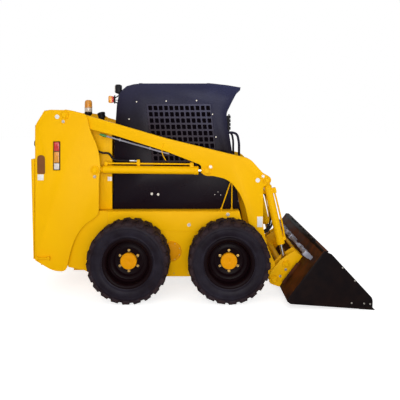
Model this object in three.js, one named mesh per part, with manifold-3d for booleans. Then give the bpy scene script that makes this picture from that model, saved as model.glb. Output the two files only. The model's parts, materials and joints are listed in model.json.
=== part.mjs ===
// Skid steer loader, standing with its bucket on the ground. Millimetres.
// +X runs forwards to the bucket, +Y to the machine's left, +Z up, with the ground at z = 0.
// Side outlines are lists of [x, z] corners, or [x, z, radius] where a corner is rounded.
import * as THREE from 'three';
import { mergeVertices } from 'three/addons/utils/BufferGeometryUtils.js';
import Module from 'manifold-3d';

const wasm = await Module();
wasm.setup();

// ---------------------------------------------------------------- driving dimensions
const wheelbase = 953;            // between the rear and front axles
const tail = -638;                // x of the rear axle
const nose = tail + wheelbase;    // x of the front axle
const ledge = 830;                // top of the drive cases, which the cab stands on
const belly = 180;                // underside of the chassis
const cabTop = 2108;              // highest line of the cab roof
const cabWidth = 840;             // over the cab's side walls
const cabWall = 30;               // folded side walls, roof and back of the cab
const armWidth = 96;              // box section of the lift arms, across
const innerPlate = 10;            // tower plate beside the engine bay
const outerPlate = 12;            // tower plate beside the wheel
const runGap = 6;                 // between the arms and the plates on either side
const seatGap = 0.3;              // between pieces that rest on each other
const boreGap = 0.7;              // round a pin or rod that turns or slides
const tyreDiameter = 780;
const tyreWidth = 260;
const rimDiameter = 426;          // where the tyre's beads sit
const liftBarrel = 80;            // outer diameters of the cylinders and their rods
const liftRod = 45;
const tiltBarrel = 76;
const tiltRod = 42;
const pinDiameter = 56;           // arm, bucket and cylinder pins
const bucketWidth = 1830;
const bucketPlate = 10;
const caseWall = 10;              // plates of the drive cases
const hoodPlate = 18;             // folded edge of the engine lid
const doorDepth = 36;             // rear door at its top
const fineCorner = 7;             // straight steps round each corner of the towers and arms

// ---------------------------------------------------------------- stations across the machine
const cabHalf = cabWidth / 2;
const innerLow = cabHalf + runGap;
const innerHigh = innerLow + innerPlate;
const armLow = innerHigh + runGap;
const armHigh = armLow + armWidth;
const armMid = (armLow + armHigh) / 2;
const outerLow = armHigh + runGap;
const outerHigh = outerLow + outerPlate;
const caseHigh = outerLow - 14;
const caseLow = cabHalf - 90;
const tyreLow = outerHigh + 4;
const tyreHigh = tyreLow + tyreWidth;
const tyreRadius = tyreDiameter / 2;
const rimRadius = rimDiameter / 2;
const pinRadius = pinDiameter / 2;

// ---------------------------------------------------------------- pivots, as [x, z]
const armPivot = [tail - 658, 1783];
const liftFoot = [tail - 357, 1240];
const liftEye = [nose - 206, 1228];
const tiltHead = [nose + 388, 1137];
const tiltEye = [nose + 575, 315];
const bucketPivot = [nose + 455, 162];

// ---------------------------------------------------------------- paint and finishes
const paint = (color, roughness, metalness) =>
  new THREE.MeshStandardMaterial({ color, roughness, metalness });
const yellow = () => paint(0xf0b400, 0.45, 0.1);
const cabBlack = () => paint(0x23252d, 0.4, 0.2);
const blackSteel = () => paint(0x1c1a19, 0.6, 0.4);
const rubber = () => paint(0x211f22, 0.85, 0);
const rimBlack = () => paint(0x17171a, 0.35, 0.4);
const brightRod = () => paint(0xb9bcc0, 0.15, 1);
const castIron = () => paint(0x4c4e52, 0.7, 0.6);
const vinyl = () => paint(0x1a1a1c, 0.7, 0);

// ---------------------------------------------------------------- shape helpers
// Turns a closed geometry into a solid that can be joined and cut.
function solid(geometry) {
  const bare = geometry.index ? geometry.toNonIndexed() : geometry.clone();
  bare.deleteAttribute('normal');
  bare.deleteAttribute('uv');
  const merged = mergeVertices(bare, 1e-3);
  const mesh = new wasm.Mesh({
    numProp: 3,
    vertProperties: new Float32Array(merged.attributes.position.array),
    triVerts: new Uint32Array(merged.index.array),
  });
  mesh.merge();
  return new wasm.Manifold(mesh);
}

const join = (...solids) => solids.reduce((whole, piece) => whole.add(piece));
const cut = (body, ...tools) => tools.reduce((rest, tool) => rest.subtract(tool), body);

// Makes the named mesh of one finished solid.
function piece(name, material, body) {
  const { vertProperties, triVerts } = body.getMesh();
  const geometry = new THREE.BufferGeometry();
  geometry.setAttribute('position', new THREE.BufferAttribute(new Float32Array(vertProperties), 3));
  geometry.setIndex(new THREE.BufferAttribute(new Uint32Array(triVerts), 1));
  geometry.computeVertexNormals();
  const mesh = new THREE.Mesh(geometry, material);
  mesh.name = name;
  return mesh;
}

// A closed outline whose corners are rounded where a third number gives the radius.
function outline(corners) {
  const shape = new THREE.Shape();
  corners.forEach(([x, z, radius = 0], index) => {
    const corner = new THREE.Vector2(x, z);
    const before = new THREE.Vector2(...corners.at(index - 1));
    const after = new THREE.Vector2(...corners[(index + 1) % corners.length]);
    const enter = corner.clone().lerp(before, Math.min(0.49, radius / corner.distanceTo(before)));
    const leave = corner.clone().lerp(after, Math.min(0.49, radius / corner.distanceTo(after)));
    if (index === 0) shape.moveTo(enter.x, enter.y);
    else shape.lineTo(enter.x, enter.y);
    if (radius > 0) shape.quadraticCurveTo(corner.x, corner.y, leave.x, leave.y);
  });
  shape.closePath();
  return shape;
}

// Runs a side outline across the machine from y = low to y = high.
function across(corners, low, high, curveSegments = 3) {
  const shape = corners instanceof THREE.Shape ? corners : outline(corners);
  const depth = Math.abs(high - low);
  const geometry = new THREE.ExtrudeGeometry(shape, { depth, bevelEnabled: false, curveSegments });
  geometry.rotateX(Math.PI / 2);
  geometry.translate(0, Math.max(low, high), 0);
  return solid(geometry);
}

// The same between two distances from the middle plane, on one side of the machine.
const onSide = (side, corners, low, high, segments) =>
  across(corners, side * low, side * high, segments);

function block(x0, x1, y0, y1, z0, z1) {
  const geometry = new THREE.BoxGeometry(x1 - x0, Math.abs(y1 - y0), z1 - z0);
  geometry.translate((x0 + x1) / 2, (y0 + y1) / 2, (z0 + z1) / 2);
  return solid(geometry);
}

const sideBlock = (side, x0, x1, low, high, z0, z1) =>
  block(x0, x1, Math.min(side * low, side * high), Math.max(side * low, side * high), z0, z1);

// A round bar across the machine, between two distances from the middle plane.
function crossBar(side, [x, z], radius, low, high, segments = 16) {
  const geometry = new THREE.CylinderGeometry(radius, radius, high - low, segments);
  geometry.translate(x, side * (low + high) / 2, z);
  return solid(geometry);
}

function upright(x, y, radius, z0, z1, segments = 12) {
  const geometry = new THREE.CylinderGeometry(radius, radius, z1 - z0, segments);
  geometry.rotateX(Math.PI / 2);
  geometry.translate(x, y, (z0 + z1) / 2);
  return solid(geometry);
}

// Turns a profile of [radius, distance] about the line that starts at `from` and runs to `to`.
function turned(profile, from, to, segments = 16) {
  const points = profile.map(([radius, along]) => new THREE.Vector2(radius, along));
  const geometry = new THREE.LatheGeometry(points, segments);
  const start = new THREE.Vector3(...from);
  const direction = new THREE.Vector3(...to).sub(start).normalize();
  const turn = new THREE.Quaternion().setFromUnitVectors(new THREE.Vector3(0, 1, 0), direction);
  geometry.applyQuaternion(turn);
  geometry.translate(start.x, start.y, start.z);
  return solid(geometry);
}

// A round tube bent along a smooth line through the points.
function bentBar(points, radius, sections = 8, steps = 20) {
  const ring = Array.from({ length: sections }, (_, index) => {
    const angle = (index / sections) * 2 * Math.PI;
    return new THREE.Vector2(radius * Math.cos(angle), radius * Math.sin(angle));
  });
  const path = new THREE.CatmullRomCurve3(points.map((point) => new THREE.Vector3(...point)));
  path.curveType = 'chordal';
  const shape = new THREE.Shape(ring);
  return solid(new THREE.ExtrudeGeometry(shape, { steps, bevelEnabled: false, extrudePath: path }));
}

// A folded sheet: the corners' line, thickened to its right-hand side as it runs.
function folded(line, thickness) {
  const inner = line.map((_, index) => {
    const here = new THREE.Vector2(...line[index]);
    const back = new THREE.Vector2(...line[Math.max(0, index - 1)]);
    const ahead = new THREE.Vector2(...line[Math.min(line.length - 1, index + 1)]);
    const enter = (index === 0 ? ahead.clone().sub(here) : here.clone().sub(back)).normalize();
    const leave = (index === line.length - 1 ? enter : ahead.clone().sub(here).normalize());
    const normal = new THREE.Vector2(enter.y + leave.y, -enter.x - leave.x).normalize();
    const stretch = thickness / Math.max(0.5, normal.dot(new THREE.Vector2(enter.y, -enter.x)));
    return here.addScaledVector(normal, stretch);
  });
  return [...line, ...inner.reverse().map((point) => [point.x, point.y])];
}

const towards = ([x0, z0], [x1, z1], distance) => {
  const length = Math.hypot(x1 - x0, z1 - z0);
  return [x0 + ((x1 - x0) * distance) / length, z0 + ((z1 - z0) * distance) / length];
};

// ---------------------------------------------------------------- chassis and axles
const caseTail = tail - 632;
const caseOutline = [
  [tail - 270, ledge], [nose + 116, ledge], [nose + 163, ledge - 190], [nose + 173, 300],
  [nose + 133, belly], [tail - 350, belly], [tail - 465, 239], [caseTail, 274], [caseTail, ledge],
];
const caseCavity = [
  [caseTail + caseWall, ledge - caseWall], [nose + 108, ledge - caseWall],
  [nose + 153, ledge - 192], [nose + 163, 300], [nose + 128, belly + caseWall],
  [tail - 346, belly + caseWall], [tail - 463, 250], [caseTail + caseWall, 285],
];
const axleFlange = 105;
const floorTop = 412;
const deckTop = 800;
const riserX = nose - 465;
const bayRear = tail - 940;

function driveCase(side) {
  const shell = onSide(side, caseOutline, caseLow, caseHigh);
  const inside = onSide(side, caseCavity, caseLow + caseWall, caseHigh - caseWall);
  const access = sideBlock(side, tail - 200, tail + 40, caseLow - 1, caseLow + caseWall + 1, 300, 620);
  return cut(shell, inside, access);
}

function chassis() {
  const middle = caseLow + 1;
  const keel = block(caseTail, nose + 133, -middle, middle, belly, belly + 14);
  const bay = innerLow - seatGap;
  const bayFloor = block(bayRear, caseTail + 40, -bay, bay, 262, 280);
  const sill = block(bayRear, bayRear + 24, -bay, bay, 262, 342);
  const joinFloor = block(caseTail, caseTail + 12, -middle, middle, belly, 280);
  const toeWall = across(folded([[nose + 133, belly], [nose + 173, 300], [nose + 168, 560]], -14),
    -middle, middle);
  const floor = block(riserX, nose + 165, -middle, middle, floorTop - 12, floorTop);
  const riser = block(riserX - 10, riserX, -middle, middle, floorTop - 12, deckTop);
  const deck = block(tail - 190, riserX, -middle, middle, deckTop - 10, deckTop);
  return piece('chassis', yellow(),
    join(driveCase(1), driveCase(-1), keel, bayFloor, sill, joinFloor, toeWall, floor, riser, deck));
}

// Each wheel's final-drive tube, bolted to the drive case by its flange.
const hubFace = tyreLow + 84;
function axle(name, side, x) {
  const start = caseHigh + seatGap;
  return piece(name, yellow(), turned(
    [[0, 0], [axleFlange, 0], [axleFlange, 14], [72, 18], [62, hubFace - start], [0, hubFace - start]],
    [x, side * start, tyreRadius], [x, side * (start + 1), tyreRadius]));
}

// ---------------------------------------------------------------- wheels
const beadLow = tyreLow + 22;
const beadHigh = tyreHigh - 22;
const discFace = tyreLow + 148;
const flangeRadius = rimRadius + 25;
const wheelSides = 28;

function tyre(name, side, x) {
  const half = tyreWidth / 2;
  const profile = [
    [rimRadius + seatGap, 22 + seatGap], [rimRadius + 34, 14], [rimRadius + 80, 0],
    [tyreRadius - 62, 2], [tyreRadius - 22, 10], [tyreRadius - 6, 26], [tyreRadius, 52],
  ];
  const mirrored = profile.map(([radius, along]) => [radius, 2 * half - along]).reverse();
  const closed = [...profile, ...mirrored, profile[0]];
  return piece(name, rubber(), turned(closed,
    [x, side * tyreLow, tyreRadius], [x, side * (tyreLow + 1), tyreRadius], wheelSides));
}

// Dished steel rim with its hub, which runs against the end of the final-drive tube.
function rim(name, side, x) {
  const hubLow = hubFace + seatGap * 2 - tyreLow;
  const dish = discFace - tyreLow;
  const outer = beadHigh - tyreLow;
  const inner = beadLow - tyreLow;
  const profile = [
    [0, hubLow], [62, hubLow], [70, dish - 14], [150, dish - 14], [rimRadius - 16, dish + 4],
    [rimRadius - 10, inner - 8], [flangeRadius, inner - 14],
    [flangeRadius, inner - 6], [rimRadius, inner - 0.5],
    [rimRadius, outer + 0.5], [flangeRadius, outer + 6], [flangeRadius, outer + 14],
    [rimRadius - 10, outer + 8], [rimRadius - 26, dish + 30],
    [142, dish], [80, dish], [76, dish + 26], [0, dish + 30],
  ];
  return piece(name, rimBlack(), turned(profile,
    [x, side * tyreLow, tyreRadius], [x, side * (tyreLow + 1), tyreRadius], wheelSides));
}

// ---------------------------------------------------------------- towers
const towerRear = tail - 952;
const towerFront = tail - 320;
const towerTop = [
  [towerRear, 1680, 50], [tail - 852, 1836, 60], [tail - 603, 1831, 40], [tail - 440, 1790, 50],
];
const outerOutline = [
  [towerRear, 347, 8], ...towerTop, [tail - 414, 1650, 60], [tail - 322, 1440, 170],
  [tail - 305, 1270, 40], [towerFront, 1140, 40], [towerFront, 790, 60], [tail - 480, 690, 130],
  [tail - 580, 520, 180], [tail - 645, 232, 60], [tail - 780, 244, 60],
];
const innerOutline = [
  [towerRear, 347], ...towerTop.slice(0, 3), [tail - 400, 1755, 40], [tail - 212, 1698, 30],
  [tail - 212, ledge + seatGap],
  [caseTail - seatGap, ledge + seatGap], [caseTail - seatGap, 262], [tail - 780, 244],
];
const spineOutline = folded([
  [tail - 780, 252], [towerRear + 2, 349], [towerRear + 2, 1672], [tail - 860, 1826],
  [tail - 760, 1832],
], outerPlate);
const lampHeight = [1234, 1524];

// Arched hand hole through the outer plate, above the rear of the wheel.
const handHole = [
  [tail - 931, 1199, 14], [tail - 931, 1386, 38], [tail - 853, 1386, 38], [tail - 853, 1199, 14],
];

function tower(name, side) {
  const outer = onSide(side, outerOutline, outerLow, outerHigh, fineCorner);
  const inner = onSide(side, innerOutline, innerLow, innerHigh, fineCorner);
  const spine = onSide(side, spineOutline, innerLow + 1, outerHigh - 1);
  const armPin = crossBar(side, armPivot, pinRadius, innerLow + 1, outerHigh - 1);
  const footPin = crossBar(side, liftFoot, pinRadius, innerLow + 1, outerHigh - 1);
  const lidPin = crossBar(side, lidPivot, lidPinRadius, innerLow - 30, innerLow + 1, 16);
  const lampRecess = sideBlock(side, tail - 774, tail - 700, outerLow + 4, outerHigh + 1, ...lampHeight);
  const hinge = side > 0 ? [doorPins()] : [];
  const body = join(outer, inner, spine, armPin, footPin, lidPin, ...hinge);
  return piece(name, yellow(), cut(body, onSide(side, handHole, outerLow - 1, outerHigh + 1), lampRecess));
}

// ---------------------------------------------------------------- rear door
const doorInner = towerRear - runGap;
const doorTop = 1349;
const doorBottom = 356;
const doorHalf = outerHigh - 8;
const hingeRadius = 8;
const hingeAxis = [doorInner - 6, outerHigh + 12];
const hingeHeights = [520, 1180];
const knuckle = 60;

function doorPins() {
  const pins = hingeHeights.map((z) => join(
    upright(...hingeAxis, hingeRadius, z - knuckle / 2 - 22, z + knuckle / 2 + 4, 16),
    block(hingeAxis[0] - 4, towerRear + 30, outerHigh - 2, hingeAxis[1] + 10,
      z - knuckle / 2 - 22, z - knuckle / 2 - 2),
  ));
  return join(...pins);
}

function rearDoor() {
  const slope = [
    [doorInner, doorBottom], [doorInner, doorTop], [doorInner - doorDepth, doorTop, 10],
    [doorInner - doorDepth * 0.35, doorBottom, 6],
  ];
  const skin = across(slope, -doorHalf, doorHalf);
  const knuckles = hingeHeights.map((z) => join(
    upright(...hingeAxis, hingeRadius + 8, z - knuckle / 2, z + knuckle / 2, 20),
    block(hingeAxis[0] - 9, hingeAxis[0] + 4, doorHalf - 30, hingeAxis[1], z - knuckle / 2, z + knuckle / 2),
  ));
  const bores = hingeHeights.map((z) =>
    upright(...hingeAxis, hingeRadius + boreGap, z - knuckle, z + knuckle, 16));
  const latch = block(doorInner - doorDepth, doorInner - 8, -doorHalf + 34, -doorHalf + 74, 700, 840);
  const body = cut(join(skin, ...knuckles), ...bores, latch);
  return piece('rear_door', yellow(), body);
}

// ---------------------------------------------------------------- engine, its lid, and what stands on the lid
const lidPivot = [tail - 240, 1655];
const lidPinRadius = 10;
const lidTop = 1690;

function engine() {
  return piece('engine_block', castIron(), block(tail - 850, tail - 260, -235, 235, 280 + seatGap, 880));
}

function engineLid() {
  const half = innerLow - runGap;
  const bend = [
    [towerRear + 4, doorTop + 8], [towerRear + 26, lidTop - 50], [tail - 880, lidTop],
    [lidPivot[0] + 12, lidTop],
  ];
  const skin = across(folded(bend, hoodPlate), -half, half);
  const lug = (side) => sideBlock(side, lidPivot[0] - 22, lidPivot[0] + 22, half - 22, half - 8,
    lidPivot[1] - 22, lidTop - 4);
  const bore = (side) => crossBar(side, lidPivot, lidPinRadius + boreGap, half - 40, half + 1, 16);
  return piece('engine_lid', yellow(), cut(join(skin, lug(1), lug(-1)), bore(1), bore(-1)));
}

const beaconX = tail - 560;
const capX = tail - 407;
const beaconRadius = 43;

function beacon() {
  const foot = [beaconX, 0, lidTop + seatGap];
  const profile = [
    [0, 0], [48, 0], [48, 10], [24, 14], [24, 84], [beaconRadius, 92], [beaconRadius, 250],
    [beaconRadius - 10, 266], [beaconRadius - 26, 274], [0, 276],
  ];
  return piece('beacon', paint(0xe8961e, 0.2, 0), turned(profile, foot, [beaconX, 0, lidTop + 1], 20));
}

function intakeCap() {
  const foot = [capX, 0, lidTop + seatGap];
  const profile = [
    [0, 0], [40, 0], [40, 8], [26, 12], [26, 76], [40, 84], [46, 92], [46, 134], [34, 146], [0, 150],
  ];
  return piece('intake_cap', blackSteel(), turned(profile, foot, [capX, 0, lidTop + 1], 20));
}

// ---------------------------------------------------------------- cab
const cabFoot = ledge + seatGap;
const roofLine = [
  [tail - 169, cabTop - 226], [tail - 148, cabTop - 107], [tail - 117, cabTop - 70],
  [tail - 70, cabTop - 28], [tail + 3, cabTop - 8], [tail + 90, cabTop],
  [nose - 151, cabTop], [nose + 6, cabTop - 18], [nose + 140, cabTop - 41],
];
const cabOutline = [
  [tail - 206, cabFoot], [tail - 193, cabTop - 560], ...roofLine,
  [nose + 88, cabTop - 117], [nose + 47, cabTop - 195], [nose, cabTop - 293, 20],
  [nose - 5, cabTop - 330], [nose + 16, cabTop - 475], [nose + 58, 1373], [nose + 127, cabFoot],
];
const windowTop = cabTop - 210;
const windowFoot = 1246;
const windowLean = 0.11;
const windowRear = tail + 128;
const windowFront = nose - 167;
const sideWindow = [
  [windowRear, windowTop], [windowFront, windowTop],
  [windowFront + windowLean * (windowTop - windowFoot), windowFoot],
  [windowRear + windowLean * (windowTop - windowFoot), windowFoot],
];
const screenPlate = 5;
const screenRim = 4;

function cabSide(name, side) {
  const wall = onSide(side, cabOutline, cabHalf - cabWall, cabHalf);
  const opening = onSide(side, sideWindow, cabHalf - cabWall - 1, cabHalf + 1);
  const barPin = crossBar(side, barPivot, barPinRadius, barHalf - 12, cabHalf - 2);
  return piece(name, cabBlack(), join(cut(wall, opening), barPin));
}

// Perforated guard set into the side window, plain here.
function sideScreen(name, side) {
  const [a, b, c, d] = sideWindow;
  const inset = [
    [a[0] + screenRim * 0.2, a[1] - seatGap], [b[0] - seatGap * 2, b[1] - seatGap],
    [c[0] - seatGap * 2, c[1] + seatGap], [d[0] + seatGap * 2, d[1] + seatGap],
  ];
  return piece(name, cabBlack(), onSide(side, inset, cabHalf - screenPlate - 3, cabHalf - 3));
}

function cabRoof() {
  const half = cabHalf - cabWall - seatGap;
  return piece('cab_roof', cabBlack(), across(folded(roofLine, cabWall), -half, half));
}

function cabBack() {
  const half = cabHalf - cabWall - seatGap;
  const roofEdge = folded(roofLine, cabWall);
  const [outerEdge, innerEdge] = [roofEdge[0], roofEdge.at(-1)];
  const wall = across([
    [tail - 206, cabFoot], [tail - 193, cabTop - 560], [outerEdge[0], outerEdge[1] - seatGap],
    [innerEdge[0], innerEdge[1] - seatGap], [tail - 193 + cabWall, cabTop - 560],
    [tail - 206 + cabWall, cabFoot],
  ], -half, half);
  const opening = block(tail - 260, tail - 100, -backWindow.half, backWindow.half,
    backWindow.foot, backWindow.top);
  return piece('cab_back', cabBlack(), cut(wall, opening));
}

const backWindow = { half: cabHalf - cabWall - 90, foot: 1280, top: cabTop - 300, pane: 6 };
function rearPane() {
  const { half, foot, top, pane } = backWindow;
  const lean = (z) => tail - 206 + ((z - cabFoot) * 13) / (cabTop - 560 - cabFoot) + 12;
  const kink = cabTop - 560;
  const slope = 24 / 334;
  const x = (z) => (z < kink ? lean(z) : lean(kink) + (z - kink) * slope);
  return piece('rear_window', paint(0x6f7c80, 0.05, 0), across([
    [x(foot), foot + seatGap], [x(kink), kink], [x(top), top - seatGap],
    [x(top) + pane, top - seatGap], [x(kink) + pane, kink], [x(foot) + pane, foot + seatGap],
  ], -half + seatGap, half - seatGap));
}

const handleRadius = 11;
function grabHandle(name, side) {
  const y = side * (cabHalf - cabWall / 2);
  const points = [
    [nose + 8, y, 1606], [nose + 62, y, 1606], [nose + 98, y, 1588], [nose + 116, y, 1540],
    [nose + 124, y, 1379], [nose + 132, y, 1262], [nose + 126, y, 1216], [nose + 104, y, 1202],
    [nose + 68, y, 1202],
  ];
  const bar = bentBar(points, handleRadius);
  return piece(name, cabBlack(), cut(bar, onSide(side, grown(cabOutline, seatGap), 1, cabHalf + 40)));
}

// The outline pushed outwards by a small clearance.
function grown(corners, clearance) {
  return corners.map(([x, z], index) => {
    const [bx, bz] = corners.at(index - 1);
    const [ax, az] = corners[(index + 1) % corners.length];
    const length = Math.hypot(ax - bx, az - bz);
    return [x - ((az - bz) / length) * clearance, z + ((ax - bx) / length) * clearance];
  });
}

// Bent stay of thin round bar between the cab's side and the ledge.
const stayRadius = 6;
function stay(name, side) {
  const y = side * (cabHalf + stayRadius + 3);
  const foot = ledge + seatGap;
  const points = [
    [nose - 60, y, foot], [nose + 40, y, 1118], [nose + 47, y, 1128], [nose + 50, y, 1118], [nose + 47, y, foot],
  ];
  const rear = turned([[0, 0], [stayRadius, 0], [stayRadius, 310], [0, 310]], points[0], points[1], 10);
  const front = turned([[0, 0], [stayRadius, 0], [stayRadius, 298], [0, 298]], points[4], points[3], 10);
  const eye = crossBar(side, [nose + 46, 1126], 15, cabHalf + seatGap, cabHalf + 2 * stayRadius + 4, 16);
  const level = block(nose - 90, nose + 90, Math.min(y - 20, y + 20), Math.max(y - 20, y + 20), foot - 30, foot);
  return piece(name, yellow(), cut(join(rear, front, eye), level));
}

// ---------------------------------------------------------------- operator's place
const seatX = tail + 30;
const seatHalf = 240;
const cushionTop = deckTop + 150;

function seatBase() {
  return piece('seat_base', blackSteel(),
    block(seatX + 20, seatX + 400, -170, 170, deckTop + seatGap, deckTop + 60));
}

function seatCushion() {
  const top = cushionTop;
  return piece('seat_cushion', vinyl(), across([
    [seatX + 6, deckTop + 60 + seatGap, 12], [seatX + 6, top], [seatX + 130, top], [seatX + 410, top + 12, 36],
    [seatX + 430, deckTop + 60 + seatGap, 24],
  ], -seatHalf, seatHalf));
}

function seatBack() {
  return piece('seat_back', vinyl(), across([
    [seatX - 4, cushionTop + seatGap, 10], [seatX - 76, cushionTop + 420, 30],
    [seatX + 4, cushionTop + 430, 36], [seatX + 102, cushionTop + seatGap, 20],
  ], -seatHalf + 10, seatHalf - 10));
}

const barPivot = [tail + 110, 1330];
const barPinRadius = 12;
const barHalf = cabHalf - cabWall - 34;
function lapBar() {
  const radius = 16;
  const eye = (side) => crossBar(side, barPivot, 26, barHalf - 8, barHalf + 8, 20);
  const bore = (side) => crossBar(side, barPivot, barPinRadius + boreGap, barHalf - 60, barHalf + 60, 16);
  const low = [barPivot[0] + 470, barPivot[1] - 180];
  const path = [
    [barPivot[0] + 12, barHalf, barPivot[1] - 4], [barPivot[0] + 200, barHalf, barPivot[1] - 60],
    [low[0] - 60, barHalf, low[1] + 20], [low[0] - 8, barHalf - 30, low[1]],
    [low[0], barHalf - 90, low[1]], [low[0], 0, low[1]],
  ];
  const mirrored = path.slice(0, -1).map(([x, y, z]) => [x, -y, z]).reverse();
  const bar = bentBar([...path, ...mirrored], radius, 8, 26);
  return piece('lap_bar', blackSteel(), cut(join(bar, eye(1), eye(-1)), bore(1), bore(-1)));
}

function lever(name, side) {
  const y = side * 210;
  const foot = floorTop + seatGap;
  const boot = turned([[0, 0], [52, 0], [46, 26], [18, 60], [0, 60]], [nose - 130, y, foot],
    [nose - 130, y, foot + 1], 20);
  const stick = bentBar([
    [nose - 130, y, foot + 30], [nose - 122, y, foot + 260], [nose - 138, y, foot + 480],
    [nose - 168, y, foot + 640],
  ], 11, 8, 10);
  const grip = turned([[0, -64], [17, -64], [21, -20], [21, 40], [12, 58], [0, 60]],
    [nose - 168, y, foot + 640], [nose - 174, y, foot + 670], 16);
  return piece(name, blackSteel(), join(boot, stick, grip));
}

// ---------------------------------------------------------------- lift arms
const earPlate = 14;
const armOutline = [
  [armPivot[0] - 46, 1790, 44], [armPivot[0] - 12, 1842, 30], [armPivot[0] + 40, 1830],
  [tail + 344, 1551], [nose + 57, 1388, 40], [nose + 220, 1352, 50], [nose + 352, 1206],
  [nose + 340, 1190], [nose + 342, 1080], [nose + 352, 1064], [nose + 352, 660, 60],
  [nose + 390, 500, 60], [nose + 476, 300, 60], [bucketPivot[0] + 40, bucketPivot[1] + 24],
  [bucketPivot[0] + 24, bucketPivot[1] - 36], [bucketPivot[0] - 30, bucketPivot[1] - 34],
  [nose + 270, 380, 120], [nose + 209, 720, 160], [nose + 150, 960, 110],
  [nose + 20, 1140, 90], [nose - 150, 1180, 40], [nose - 206, 1176, 40], [nose - 262, 1200, 40],
  [nose - 262, 1286, 30], [tail + 340, 1422], [tail - 166, 1580, 60], [armPivot[0] + 60, 1690, 40],
];
const rodEyeWidth = 50;
const legEndRadius = 48;

// Box-section arm: a boom sloping down from the tower, and a leg down to the bucket pivot.
function arm(name, side) {
  const box = onSide(side, armOutline, armLow, armHigh, fineCorner);
  const cheeks = rodEyeWidth / 2 + 5;
  const eyePocket = sideBlock(side, liftEye[0] - 90, liftEye[0] + 68, armMid - cheeks, armMid + cheeks,
    liftEye[1] - 100, liftEye[1] + 50);
  const ear = (low, high) => join(
    crossBar(side, tiltHead, 44, low, high),
    onSide(side, [[nose + 300, 1250], [nose + 352, 1206], [tiltHead[0] + 30, tiltHead[1] + 32],
      [tiltHead[0] + 6, tiltHead[1] - 42], [nose + 352, 1064], [nose + 300, 1064]], low, high),
  );
  const headPin = crossBar(side, tiltHead, pinRadius - 6, armLow + 1, armHigh - 1);
  const legEnd = crossBar(side, bucketPivot, legEndRadius, armLow, armHigh, 24);
  const body = join(box, legEnd, ear(armLow, armLow + earPlate), ear(armHigh - earPlate, armHigh), headPin);
  return piece(name, yellow(), cut(body, eyePocket,
    crossBar(side, armPivot, pinRadius + boreGap, armLow - 1, armHigh + 1),
    crossBar(side, bucketPivot, pinRadius + boreGap, armLow - 1, armHigh + 1)));
}

const crossTubeAt = [nose + 277, 900];
function crossTube() {
  const half = armLow - seatGap;
  return piece('arm_cross_tube', yellow(), turned(
    [[0, 0], [88, 0], [88, 12], [62, 14], [62, 2 * half - 14], [88, 2 * half - 12], [88, 2 * half], [0, 2 * half]],
    [crossTubeAt[0], -half, crossTubeAt[1]], [crossTubeAt[0], 0, crossTubeAt[1]], 20));
}

// ---------------------------------------------------------------- cylinders
// A barrel from its foot eye to its gland, bored for the rod, along the line from `foot` to `eye`.
function barrel(name, side, foot, eye, outer, rodSize, length, eyePin) {
  const radius = outer / 2;
  const wall = 6;
  const start = radius + 14;
  const bore = rodSize / 2 + boreGap;
  const at = ([x, z]) => [x, side * armMid, z];
  const tube = turned([
    [0, start], [radius - 12, start], [radius, start + 8], [radius, length - 40], [radius + 5, length - 38],
    [radius + 5, length - 3], [radius + 2, length], [bore, length], [bore, length - 34],
    [radius - wall, length - 36], [radius - wall, start + 22], [0, start + 22],
  ], at(foot), at(eye));
  const neck = towards(foot, eye, start + 12);
  const neckRadius = Math.min(eyePin + 10, lugHalf + eyePin - 18);
  const lug = join(
    crossBar(side, foot, eyePin + 16, armMid - lugHalf, armMid + lugHalf),
    turned([[0, 10], [neckRadius, 10], [radius - 14, start + 10], [0, start + 10]], at(foot), at(neck)),
  );
  return piece(name, yellow(), cut(join(tube, lug),
    crossBar(side, foot, eyePin + boreGap, armLow, armHigh)));
}

// A rod from its piston end inside the barrel to its eye, which lies open between its ears.
function rod(name, side, foot, eye, rodSize, inside, eyeRadius) {
  const radius = rodSize / 2;
  const length = Math.hypot(eye[0] - foot[0], eye[1] - foot[1]);
  const at = ([x, z]) => [x, side * armMid, z];
  const bar = turned([
    [0, inside], [radius, inside], [radius, length - eyeRadius + 8], [0, length - eyeRadius + 8],
  ], at(foot), at(eye));
  const loop = crossBar(side, eye, eyeRadius, armMid - rodEyeWidth / 2, armMid + rodEyeWidth / 2);
  const hole = crossBar(side, eye, eyeRadius - 12, armMid - rodEyeWidth, armMid + rodEyeWidth);
  return piece(name, brightRod(), cut(join(bar, loop), hole));
}

const liftBarrelLength = Math.hypot(liftEye[0] - liftFoot[0], liftEye[1] - liftFoot[1]) - 84;
const tiltBarrelLength = Math.hypot(tiltEye[0] - tiltHead[0], tiltEye[1] - tiltHead[1]) - 184;
const lugHalf = armWidth / 2 - earPlate - runGap;
const liftPiston = 100;           // where each rod's inner end lies, from the barrel's foot
const tiltPiston = 165;
const liftEyeRadius = 42;
const tiltEyeRadius = 28;

// ---------------------------------------------------------------- coupler and bucket
const backSlope = Math.atan2(431, 330);
const backFoot = [nose + 523, 106];
const alongBack = (distance, away = 0) => [
  backFoot[0] + distance * Math.cos(backSlope) - away * Math.sin(backSlope),
  backFoot[1] + distance * Math.sin(backSlope) + away * Math.cos(backSlope),
];
const earGap = 7;
const innerEar = [armLow - earGap - 12, armLow - earGap];
const outerEar = [armHigh + earGap, armHigh + earGap + 12];

const earTop = 354;
const earOutline = [
  [bucketPivot[0] - 52, bucketPivot[1] - 40, 34], [bucketPivot[0] - 40, bucketPivot[1] + 66, 30],
  [tiltEye[0] - 52, tiltEye[1] + 40, 30], alongBack(earTop, 96), alongBack(earTop, seatGap),
  alongBack(-25, seatGap),
];

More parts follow.
